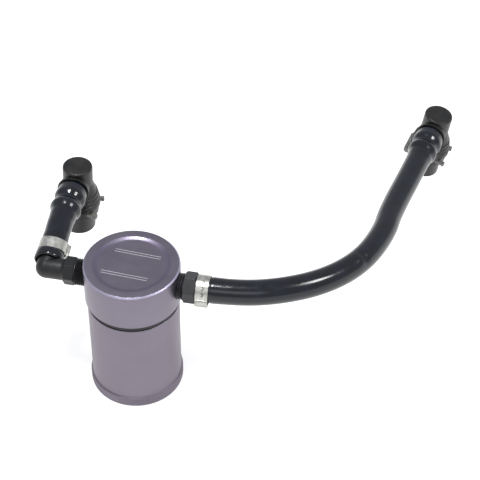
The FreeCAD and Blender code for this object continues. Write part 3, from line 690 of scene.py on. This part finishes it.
can_finish = anodised("anodised_can_aluminium", "#7B747F", "#817A85", 0.36, 0.46)
can.data.materials.append(can_finish)
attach(can, "can")
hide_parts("can")

# Grip: straight knurl rolled into the ring round the can's foot, one ridge every 1.1 mm. It is
# what the hand holds when the can is unscrewed from the cap.
knurl, given = new_tree(
    "rolled_knurl", Ring_radius=float, Ridges=int, Ridge_size=float, Ridge_length=float,
    Level=float, Finish=bpy.types.Material,
)
rim = add_node(
    knurl, "GeometryNodeMeshCircle", {"Vertices": given["Ridges"], "Radius": given["Ring radius"]}
)
ridge = add_node(
    knurl, "GeometryNodeMeshCylinder",
    {"Vertices": 4, "Radius": given["Ridge size"], "Depth": given["Ridge length"]},
)
number = add_node(knurl, "GeometryNodeInputIndex")
part = add_node(knurl, "ShaderNodeMath", {0: 2 * math.pi, 1: given["Ridges"]}, operation="DIVIDE")
turn = add_node(knurl, "ShaderNodeMath", {0: number, 1: part}, operation="MULTIPLY")
facing = add_node(knurl, "ShaderNodeCombineXYZ", {"Z": turn})
ridges = add_node(
    knurl, "GeometryNodeInstanceOnPoints", {"Points": rim, "Instance": ridge, "Rotation": facing}
)
height = add_node(knurl, "ShaderNodeCombineXYZ", {"Z": given["Level"]})
lifted = add_node(knurl, "GeometryNodeTransform", {"Geometry": ridges, "Translation": height})
end_tree(knurl, lifted, given["Finish"])
grip = shown(
    "can_grip_knurl",
    grown(
        "can_grip_knurl", knurl, on_axis, Ring_radius=31.05, Ridges=180, Ridge_size=0.62,
        Ridge_length=6.2, Level=4.4, Finish=can_finish,
    ),
)
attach(grip, "can")

# Cap: turned from the same bar, with a shallow round recess on top that ends in a polished
# cove, a chamber below, and a tapped port on each side. It is anodised with the can.
CAP_TOP, RECESS_FLOOR, CAP_RADIUS = 106, 104.9, 31.75
chamfer_in, chamfer_foot, cove_in, cove_out = 30.85, 105.1, 22.4, 25.5
cap_section = [
    (0, 84), (23, 84), (23, 72.8), (24.2, 72.8), (24.2, 71.1), (23, 71.1), (23, 66), (27.42, 66),
    (27.42, 78), (31.45, 78), (CAP_RADIUS, 78.3), (CAP_RADIUS, chamfer_foot), (chamfer_in, CAP_TOP),
    (cove_out, CAP_TOP), (25.2, 105.9), (24.6, 105.62), (23.9, 105.3), (23.2, 105.05),
    (cove_in, 104.93), (21.6, RECESS_FLOOR), (0, RECESS_FLOOR),
]
cap = shown("cap_block", turned("cap_block", soften(cap_section, 0.12), on_axis, around=160))


def settled(piece):
    """Gives a piece its modifiers' result as its own mesh, and takes them off."""
    bpy.context.view_layer.update()
    depsgraph = bpy.context.evaluated_depsgraph_get()
    mesh = bpy.data.meshes.new_from_object(piece.evaluated_get(depsgraph))
    piece.modifiers.clear()
    piece.data = mark_edges(mesh)


def cut_out(piece, tools):
    """Cuts the shape of each tool out of a piece, and clears the tools away."""
    for tool in tools:
        cut = piece.modifiers.new(tool.name, "BOOLEAN")
        cut.operation = "DIFFERENCE"
        cut.solver = "EXACT"
        cut.object = tool
    settled(piece)
    for tool in tools:
        bpy.data.objects.remove(tool)


port_radius, port_floor, port_depth = 9.0, 23.0, 12.0
port_section = [(0, 0), (port_radius, 0), (port_radius, port_depth), (0, port_depth)]
port_tools = []
for name, onward in (("right_port", Vector((1, 0, 0))), ("left_port", Vector((-1, 0, 0)))):
    place = set_along(Vector((0, 0, PORT_LEVEL)) + onward * port_floor, onward, (0, 0, 1))
    port_tools.append(shown(name, turned(name, port_section, place, around=64)))
cut_out(cap, port_tools)

cap_finish = anodised("anodised_cap_aluminium", "#7A7480", "#807A86", 0.34, 0.42)
# The chamfer is cut with a diamond after anodising, which leaves it bright, with a cloudy grain
# about 3 mm wide. The cove was polished before, so it is a little glossier than the rest.
bright_cut = grained(
    "diamond_cut_aluminium", "#A9A3BA", "#B9B4C8", 0.3 / MM, 3.0, Metallic=1.0, Roughness=0.42
)
cove_finish = anodised("anodised_polished_cove", "#787183", "#7F798A", 0.33, 0.38)
cap.data.materials.clear()
for finish in (cap_finish, bright_cut, cove_finish):
    cap.data.materials.append(finish)
below_top, above_floor, beside = CAP_TOP - 0.01, RECESS_FLOOR + 0.02, 0.05
for face in cap.data.polygons:
    out, level = math.hypot(face.center.x, face.center.y) / MM, face.center.z / MM
    on_chamfer = out > chamfer_in - beside and chamfer_foot - beside < level < below_top
    on_cove = cove_in < out < cove_out and above_floor < level < below_top
    face.material_index = 1 if on_chamfer else 2 if on_cove else 0
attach(cap, "cap_side")
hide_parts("cap")

# Cap's marking place: left plain but for two pairs of laser hairlines across the recess,
# which burn the anodising off to bare pale metal with a grain of 0.4 mm. They carry no words.
laser = grained(
    "laser_bared_aluminium", "#A9A5AE", "#F2F0F4", 2.4 / MM, 3.0, Metallic=0.6, Roughness=0.6
)
hairlines, given = new_tree(
    "laser_hairlines", Line_length=float, Line_width=float, Pair_gap=float, Lines=int,
    Level=float, Finish=bpy.types.Material,
)
stroke = add_node(
    hairlines, "GeometryNodeMeshGrid",
    {"Size X": given["Line length"], "Size Y": given["Line width"], "Vertices X": 12, "Vertices Y": 2},
)
first = add_node(hairlines, "ShaderNodeCombineXYZ", {"Z": given["Level"]})
apart = add_node(hairlines, "ShaderNodeCombineXYZ", {"Y": given["Pair gap"]})
rows = add_node(
    hairlines, "GeometryNodeMeshLine",
    {"Count": given["Lines"], "Start Location": first, "Offset": apart},
)
strokes = add_node(hairlines, "GeometryNodeInstanceOnPoints", {"Points": rows, "Instance": stroke})
end_tree(hairlines, strokes, given["Finish"])
slant = Matrix.Diagonal((MM, MM, MM, 1)) @ Matrix.Rotation(math.radians(-4.0), 4, "Z")
marking = []
for name, shift, across in (("near", -2.0, -11.5), ("far", 1.0, 9.5)):
    place = slant @ Matrix.Translation((shift, across, 0))
    marking.append(
        grown(
            f"{name}_hairlines", hairlines, place, Line_length=31.0, Line_width=0.3,
            Pair_gap=2.0, Lines=2, Level=RECESS_FLOOR + 0.03, Finish=laser,
        )
    )
hair = shown("cap_hairlines", joined("cap_hairlines", marking))
hair.data.materials.append(laser)
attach(hair, "cap_side")

# Pipe threads: moulded with each fitting, 1.41 mm apart, on the end that screws into the cap's
# port. They are seen as dark ridges between each hexagon and the cap, swept along a helix.
thread, given = new_tree(
    "pipe_thread", Crest_radius=float, Thread_depth=float, Pitch=float, Turns=float,
    Finish=bpy.types.Material,
)
climb = add_node(thread, "ShaderNodeMath", {0: given["Pitch"], 1: given["Turns"]}, operation="MULTIPLY")
root = add_node(
    thread, "ShaderNodeMath", {0: given["Crest radius"], 1: given["Thread depth"]}, operation="SUBTRACT"
)
helix = add_node(
    thread, "GeometryNodeCurveSpiral",
    {"Resolution": 48, "Rotations": given["Turns"], "Start Radius": root, "End Radius": root},
)
feed(helix, {"Height": climb})
upright = add_node(thread, "GeometryNodeSetCurveNormal", {"Curve": helix}, mode="Z_UP")
diamond = add_node(
    thread, "GeometryNodeCurvePrimitiveCircle", {"Resolution": 4, "Radius": given["Thread depth"]}
)
ridge = add_node(
    thread, "GeometryNodeCurveToMesh", {"Curve": upright, "Profile Curve": diamond, "Fill Caps": True}
)
end_tree(thread, ridge, given["Finish"])


def fitting_thread(name, fitting_place, turns, finish):
    """One fitting's thread, which starts just outside the floor of its port."""
    start = Matrix.Translation((0, 0, 25.0))
    return grown(
        name, thread, fitting_place @ start, Crest_radius=8.95,
        Thread_depth=0.85, Pitch=1.41, Turns=turns, Finish=finish,
    )


def hexagon(name, matrix, corner, length, first_turn, chamfer):
    """A hexagon whose six corners are turned off at both ends."""
    flat, blunt = corner * math.cos(math.pi / 6), 0.12
    turns = [first_turn + n * 3.0 for n in range(120)]
    near_end = [0, 0.15, 0.3, 0.5, 0.7, 0.9, 1.2, 1.5]
    levels = sorted(set(near_end + [length - at for at in near_end]))
    corners, wide = [], len(levels)
    for turn in turns:
        off, rise = (turn - first_turn) % 60 - 30, math.radians(turn)
        side = flat / math.cos(math.radians(off)) - blunt * (abs(off) > 29)
        for level in levels:
            inward = min(level, length - level)
            radius = min(side, corner - chamfer + inward * 1.7) - blunt * (inward < 0.01)
            corners.append((radius * math.cos(rise), radius * math.sin(rise), level))
    hub = len(corners)
    corners += [(0, 0, 0), (0, 0, length)]
    faces = []
    for at in range(len(turns)):
        here, after = at * wide, (at + 1) % len(turns) * wide
        for step in range(wide - 1):
            faces.append((here + step, after + step, after + step + 1, here + step + 1))
        faces.append((here, hub, after))
        faces.append((here + wide - 1, after + wide - 1, hub + 1))
    mesh = skin(name, corners, faces)
    mesh.transform(matrix)
    return mark_edges(mesh, 20)


def barbs(start, count):
    """The section of a barbed stem, from its root to its tip."""
    stem, crest, pitch = 5.6, 6.3, 5.0
    section = []
    for n in range(count):
        low = start + n * pitch
        section += [(stem, low), (stem, low + pitch * 0.24), (crest, low + pitch * 0.25)]
        section.append((stem, low + pitch))
    return section


# Glass-filled nylon, moulded black: a dark grey satin skin, IOR about 1.53, with a leathery
# mottle 0.9 mm wide where the fibres lie near the surface, and flow marks of 6 mm. Both fittings
# are this one nylon: the straight one's greyer black is painted light and the elbow's deeper
# black is painted shade, so each has its own tone.


def moulded_nylon(name, dark, light):
    """The finish of one moulded fitting, between two shades of its black."""
    material, tree, shader = new_finish(name, IOR=1.53, Specular_IOR_Level=0.42)
    spot = add_node(tree, "ShaderNodeTexCoord").outputs["Object"]
    fibres = add_node(
        tree, "ShaderNodeTexNoise",
        {"Vector": spot, "Scale": 1.1 / MM, "Detail": 4.0, "Roughness": 0.65},
    )
    flow = add_node(tree, "ShaderNodeTexNoise", {"Vector": spot, "Scale": 0.16 / MM, "Detail": 4.0})
    mottle = add_node(tree, "ShaderNodeMath", {0: fibres, 1: flow}, operation="MULTIPLY")
    tone = add_node(
        tree, "ShaderNodeMix",
        {"Factor": mottle, "A": linear(dark), "B": linear(light)},
        data_type="RGBA",
    )
    dull = add_node(tree, "ShaderNodeMapRange", {"Value": flow, "To Min": 0.34, "To Max": 0.55})
    relief = add_node(
        tree, "ShaderNodeBump", {"Height": fibres, "Strength": 0.35, "Distance": 0.12 * MM}
    )
    feed(shader, {"Base Color": tone, "Roughness": dull, "Normal": relief})
    return material


# Right fitting: a straight hose fitting, moulded in one piece: pipe thread, hexagon for the
# spanner, and a barbed stem inside the hose.
# The straight fitting's greyer black is painted light on the same nylon.
nylon_painted_light = moulded_nylon("moulded_grey_black_nylon", "#131316", "#3B3C3F")
out_right = set_along((0, 0, PORT_LEVEL), (1, 0, 0), (0, 1, 0))
tip, thread_bore, thread_root = 23.6, 4.6, 8.2
right_core = turned(
    "right_core",
    [(thread_bore, tip), (thread_root, tip), (thread_root, 35.0), (9.1, 35.0), (9.1, 42.9)]
    + barbs(43.0, 3) + [(thread_bore, 58.0)],
    out_right, around=72, closed=True,
)
right_hex = hexagon(
    "right_hex", out_right @ Matrix.Translation((0, 0, 34.7)), corner=10.6, length=8.3,
    first_turn=39.0, chamfer=1.5,
)
right_thread = fitting_thread("right_thread", out_right, 6.9, nylon_painted_light)
right_fitting = shown(
    "right_fitting_moulding", joined("right_fitting_moulding", [right_core, right_hex, right_thread])
)
right_fitting.data.materials.append(nylon_painted_light)
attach(right_fitting, "cap_side")
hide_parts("right_fitting")

# Left elbow: the same thread and hexagon, then a round elbow that turns the hose back and a
# little upwards. A collar stops the hose, and the stem has the same barbs.
# The elbow's deeper black is painted shade on the same nylon.
nylon_painted_shade = moulded_nylon("moulded_black_nylon", "#070708", "#1B1C1E")
out_left = set_along((0, 0, PORT_LEVEL), (-1, 0, 0), (0, 1, 0))
elbow_reach, elbow_radius, collar_end = 58.15, 7.1, 8.1
rise = math.radians(9.0)
branch = (0, math.cos(rise), math.sin(rise))
up_branch = set_along((-elbow_reach, 0, PORT_LEVEL), branch, (1, 0, 0))
left_section = [
    (0, tip), (thread_root, tip), (thread_root, 38.3), (8.4, 38.6), (8.4, 44.6), (8.1, 45.3),
    (7.25, 46.2), (elbow_radius, 47.4), (elbow_radius, elbow_reach), (0, elbow_reach),
]
left_core = turned("left_core", soften(left_section, 0.2), out_left, around=72)
knuckle = [
    (max(elbow_radius * math.cos(bend), 0), elbow_radius * math.sin(bend))
    for bend in np.linspace(-math.pi / 2, math.pi / 2, 33)
]
left_knuckle = turned("left_knuckle", knuckle, up_branch, around=72)
collar = [
    (0, 0), (elbow_radius, 0), (elbow_radius, 5.7), (7.5, 6.4), (8.3, 6.5), (8.3, collar_end),
]
left_branch = turned(
    "left_branch", soften(collar, 0.2) + barbs(collar_end, 3) + [(0, 23.1)], up_branch, around=72
)
left_hex = hexagon(
    "left_hex", out_left @ Matrix.Translation((0, 0, 38.05)), corner=9.7, length=7.0,
    first_turn=6.0, chamfer=0.9,
)
left_thread = fitting_thread("left_thread", out_left, 9.2, nylon_painted_shade)
left_elbow = shown(
    "left_elbow_moulding",
    joined("left_elbow_moulding", [left_core, left_knuckle, left_branch, left_hex, left_thread]),
)
left_elbow.data.materials.append(nylon_painted_shade)
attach(left_elbow, "cap_side")
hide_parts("left_elbow")

# Quick connectors: moulded from glass-filled nylon, a bell-shaped housing with a side arm for
# the hose. Steps in the mould leave rings on the bell, and two slots take the clip's legs.
bell_rings, given = new_tree(
    "bell_rings", Rings=int, Top_level=float, Ring_step=float, Top_radius=float,
    Radius_step=float, Ring_size=float, Finish=bpy.types.Material,
)
start_level = add_node(bell_rings, "ShaderNodeCombineXYZ", {"Z": given["Top level"]})
down = add_node(bell_rings, "ShaderNodeMath", {0: given["Ring step"], 1: -1.0}, operation="MULTIPLY")
step_down = add_node(bell_rings, "ShaderNodeCombineXYZ", {"Z": down})
levels = add_node(
    bell_rings, "GeometryNodeMeshLine",
    {"Count": given["Rings"], "Start Location": start_level, "Offset": step_down},
)
circle = add_node(bell_rings, "GeometryNodeCurvePrimitiveCircle", {"Resolution": 96, "Radius": 1.0})
number = add_node(bell_rings, "GeometryNodeInputIndex")
reach = add_node(
    bell_rings, "ShaderNodeMath",
    {0: number, 1: given["Radius step"], 2: given["Top radius"]},
    operation="MULTIPLY_ADD",
)
hoops = add_node(
    bell_rings, "GeometryNodeInstanceOnPoints", {"Points": levels, "Instance": circle, "Scale": reach}
)
real_hoops = add_node(bell_rings, "GeometryNodeRealizeInstances", {"Geometry": hoops})
bead = add_node(
    bell_rings, "GeometryNodeCurvePrimitiveCircle", {"Resolution": 10, "Radius": given["Ring size"]}
)
even = add_node(bell_rings, "GeometryNodeSetCurveRadius", {"Curve": real_hoops, "Radius": 1.0})
beads = add_node(bell_rings, "GeometryNodeCurveToMesh", {"Curve": even, "Profile Curve": bead})
end_tree(bell_rings, beads, given["Finish"])

# The connectors' glass-filled nylon is a warmer, duller black than the fittings'. Its mould was
# spark eroded: that fine texture is drawn 0.7 mm wide here, with grey scuffs in 8 mm patches.
housing, tree, shader = new_finish("moulded_connector_nylon", IOR=1.53, Specular_IOR_Level=0.42)
spot = add_node(tree, "ShaderNodeTexCoord").outputs["Object"]
eroded = add_node(tree, "ShaderNodeTexNoise", {"Vector": spot, "Scale": 1.5 / MM, "Detail": 3.0})
handled = add_node(
    tree, "ShaderNodeTexNoise", {"Vector": spot, "Scale": 0.12 / MM, "Detail": 6.0, "Roughness": 0.6}
)
scuffs = add_node(tree, "ShaderNodeMapRange", {"Value": handled, "From Min": 0.4, "From Max": 0.75})
tone = add_node(
    tree, "ShaderNodeMix",
    {"Factor": scuffs, "A": linear("#080808"), "B": linear("#23221F")},
    data_type="RGBA",
)
dull = add_node(tree, "ShaderNodeMapRange", {"Value": handled, "To Min": 0.28, "To Max": 0.46})
relief = add_node(tree, "ShaderNodeBump", {"Height": eroded, "Strength": 0.3, "Distance": 0.1 * MM})
feed(shader, {"Base Color": tone, "Roughness": dull, "Normal": relief})

bell = [
    (0, 13.2), (8.7, 13.2), (9.6, 12.95), (10.1, 12.4), (10.3, 11.6), (10.3, -1.0), (10.75, -2.6),
    (11.4, -4.8), (12.2, -7.0), (13.0, -9.4), (13.7, -11.9), (14.3, -14.2), (14.85, -16.4),
    (15.2, -18.0), (15.2, -20.1), (14.7, -20.7), (13.95, -20.7), (13.95, -26.4), (13.2, -27.0),
    (11.35, -27.2), (11.3, -40.0), (10.9, -40.6), (10.3, -40.6), (9.9, -40.1), (9.9, -20.5),
    (9.7, -20.5), (9.7, -9.5), (8.0, -9.5), (8.0, -1.0), (6.0, -1.0), (6.0, 6.0), (0, 6.0),
]
arm_collar = [(0, 8.0), (10.45, 8.0), (10.45, 10.9), (10.8, 11.3), (11.2, 11.4), (11.2, 12.4)]
arm = arm_collar + barbs(12.4, 5) + [(0, 37.4)]
CLIP_LOW, CLIP_HIGH = -24.0, -21.0
slot_size, slot_centres, arm_over_mount = (34, 3.0, 3.6), (9.5, -9.5), 5.25
mounts = {mount["name"]: mount for mount in frame["record"]["mounts"]}
uprights = {}
for side, line in (("left", left_line), ("right", right_line)):
    mount = mounts[f"{side}_socket"]
    column = -Vector(mount["axis"]).normalized()
    crossing = Vector(mount["pos_m"]) / MM + column * arm_over_mount
    travel = Vector(line.at(line.length)[1])
    upright = set_along(crossing, column, travel.cross(column))
    uprights[side] = upright
    sideways = set_along(crossing, -travel, column)
    shell = shown(f"{side}_shell", turned(f"{side}_shell", soften(bell, 0.25), upright, around=128))
    slot_tools = []
    for centre in slot_centres:
        box = bpy.data.meshes.new("clip_slot")
        work = bmesh.new()
        place = upright @ Matrix.Translation((0, centre, (CLIP_LOW + CLIP_HIGH) / 2))
        bmesh.ops.create_cube(work, size=1.0, matrix=place @ Matrix.Diagonal((*slot_size, 1)))
        work.to_mesh(box)
        work.free()
        slot_tools.append(shown("clip_slot", outwards(box)))
    cut_out(shell, slot_tools)
    hose_arm = turned(f"{side}_arm", soften(arm, 0.15), sideways, around=72)
    rings = grown(
        f"{side}_bell_rings", bell_rings, upright, Rings=3, Top_level=-9.6, Ring_step=3.0,
        Top_radius=13.0, Radius_step=0.72, Ring_size=0.5, Finish=housing,
    )
    whole = joined(f"{side}_connector_moulding", [shell.data, hose_arm, rings])
    bpy.data.objects.remove(shell)
    connector = shown(f"{side}_connector_moulding", whole)
    connector.data.materials.clear()
    connector.data.materials.append(housing)
    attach(connector, "cap_side")
    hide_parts(f"{side}_connector")

# Clips: moulded acetal horseshoes in mid grey. Two legs pass through the housing's slots and
# hook outwards at their tips; pulling the head frees the tube. Acetal is waxy and a little
# cloudy, in 3 mm patches.
acetal = grained(
    "moulded_grey_acetal", "#595855", "#7B7A75", 0.35 / MM, 4.0, relief=0.1, IOR=1.48,
    Roughness=0.42, Subsurface_Weight=0.08, Subsurface_Scale=1 * MM,
)
clip_leg = [
    (-16.8, -9.2), (-15.3, -10.7), (14.1, -10.7), (14.1, -11.4), (15.2, -11.4), (15.9, -9.9),
    (15.9, -8.3), (-13.2, -8.3), (-14.2, -7.3),
]
clip_outline = clip_leg + [(x, -y) for x, y in reversed(clip_leg)]
for side, upright in uprights.items():
    mesh = bpy.data.meshes.new(f"{side}_clip_horseshoe")
    work = bmesh.new()
    low = [work.verts.new((x, y, CLIP_LOW)) for x, y in clip_outline]
    high = [work.verts.new((x, y, CLIP_HIGH)) for x, y in clip_outline]
    work.faces.new(low)
    work.faces.new(high)
    for n in range(len(low)):
        after = (n + 1) % len(low)
        work.faces.new((low[n], low[after], high[after], high[n]))
    work.to_mesh(mesh)
    work.free()
    outwards(mesh).transform(upright)
    clip = shown(f"{side}_clip_horseshoe", mesh)
    round_over = clip.modifiers.new("moulded_edges", "BEVEL")
    round_over.width = 0.35 * MM
    round_over.segments = 3
    round_over.limit_method = "ANGLE"
    round_over.angle_limit = math.radians(40)
    settled(clip)
    clip.data.materials.append(acetal)
    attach(clip, f"{side}_clip")
    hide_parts(f"{side}_clip")

# Mesh pack: knitted stainless wire, pressed into a disc in the cap's chamber with a hole for
# the inlet tube. Oil mist settles on its loops and drips back into the can. The marks that
# drawing leaves on the wire are drawn 1.1 mm wide.
wire = grained(
    "drawn_stainless_wire", "#77776F", "#C8C7BF", 0.9 / MM, 3.0, Metallic=1.0, Roughness=0.3
)
knit, given = new_tree(
    "knitted_wire", Pack_radius=float, Pack_height=float, Layers=int, Loops=float,
    Loop_radius=float, Wire_radius=float, Finish=bpy.types.Material,
)
disc = add_node(
    knit, "GeometryNodeMeshCircle", {"Vertices": 48, "Radius": given["Pack radius"]}, fill_type="NGON"
)
gap = add_node(knit, "ShaderNodeMath", {0: given["Pack height"], 1: given["Layers"]}, operation="DIVIDE")
storey = add_node(knit, "ShaderNodeCombineXYZ", {"Z": gap})
stack = add_node(knit, "GeometryNodeMeshLine", {"Count": given["Layers"], "Offset": storey})
sheets = add_node(knit, "GeometryNodeInstanceOnPoints", {"Points": stack, "Instance": disc})
real_sheets = add_node(knit, "GeometryNodeRealizeInstances", {"Geometry": sheets})
scatter = add_node(
    knit, "GeometryNodeDistributePointsOnFaces",
    {"Mesh": real_sheets, "Density": given["Loops"], "Seed": 7},
)
loop = add_node(
    knit, "GeometryNodeCurvePrimitiveCircle", {"Resolution": 12, "Radius": given["Loop radius"]}
)
strand = add_node(
    knit, "GeometryNodeCurvePrimitiveCircle", {"Resolution": 4, "Radius": given["Wire radius"]}
)
ring = add_node(knit, "GeometryNodeCurveToMesh", {"Curve": loop, "Profile Curve": strand})
tilt = add_node(
    knit, "FunctionNodeRandomValue",
    {"Min": (-0.6, -0.6, 0.0), "Max": (0.6, 0.6, 6.28), "Seed": 11},
    data_type="FLOAT_VECTOR",
)
loops = add_node(
    knit, "GeometryNodeInstanceOnPoints", {"Points": scatter, "Instance": ring, "Rotation": tilt}
)
end_tree(knit, loops, given["Finish"])
pack_mesh = grown(
    "mesh_pack_wire", knit, set_along((0, 0, 75.6)), Pack_radius=20.6, Pack_height=8.4,
    Layers=5, Loops=0.16, Loop_radius=1.9, Wire_radius=0.14, Finish=wire,
)
tube_x, tube_hole, pack_low, pack_high = -13.0, 6.6, 74.45, 83.85
work = bmesh.new()
work.from_mesh(pack_mesh)
outside = []
for corner in work.verts:
    x, y, level = corner.co / MM
    if math.hypot(x - tube_x, y) < tube_hole or not pack_low < level < pack_high:
        outside.append(corner)
bmesh.ops.delete(work, geom=outside, context="VERTS")
work.to_mesh(pack_mesh)
work.free()
mesh_pack = shown("mesh_pack_wire", pack_mesh)
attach(mesh_pack, "cap_side")
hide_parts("mesh_pack")

# Seal ring: square-edged ring of black nitrile rubber that the cap squeezes on the can's rim.
# It is moulded and matt, with talc left in its skin in spots of 2 mm, and the seals inside the
# connectors are made the same way.
nitrile = grained(
    "moulded_nitrile_rubber", "#111113", "#2A2A2D", 0.5 / MM, 5.0, rough=(0.5, 0.75),
    relief=0.08, IOR=1.52,
)

# Spacers and bushes: turned natural nylon, a waxy off-white with soft clouds of 2.5 mm. They
# keep the seals of each connector apart and in their place.
natural = grained(
    "natural_nylon", "#CFCBBD", "#E6E3D8", 0.4 / MM, 4.0, IOR=1.53, Roughness=0.45,
    Subsurface_Weight=0.15, Subsurface_Scale=1 * MM,
)

# Inner metal: the drawn inlet tube, the punched plate under the mesh, and the sprung ring that
# holds both up. The tube's drawing lines are drawn 1.1 mm apart so that they show, the plate's
# rolling marks are 1.4 mm wide, and the blued ring is mottled.
drawn_tube = grained(
    "drawn_aluminium_tube", "#A4A5A8", "#CDCED0", 1.0, 3.0, relief=0.05,
    stretch=(0.9 / MM, 0.9 / MM, 0.03 / MM), Metallic=1.0, Roughness=0.34,
)
punched_plate = grained(
    "punched_stainless_plate", "#8F8F8B", "#B9B9B4", 0.7 / MM, 3.0, relief=0.05,
    stretch=(1.0, 0.1, 1.0), Metallic=1.0, Roughness=0.32,
)
spring_steel = grained(
    "blued_spring_steel", "#3E4046", "#6A6C72", 0.6 / MM, 3.0, relief=0.05, Metallic=1.0, Roughness=0.3
)
finishes = {
    "seal_ring": nitrile,
    "inlet_tube": drawn_tube,
    "screen_plate": punched_plate,
    "snap_ring": spring_steel,
}
for side in ("left", "right"):
    finishes[f"{side}_front_seal"] = nitrile
    finishes[f"{side}_rear_seal"] = nitrile
    finishes[f"{side}_spacer"] = natural
    finishes[f"{side}_bush"] = natural
for name, finish in finishes.items():
    nodes[name].data.materials.clear()
    nodes[name].data.materials.append(finish)
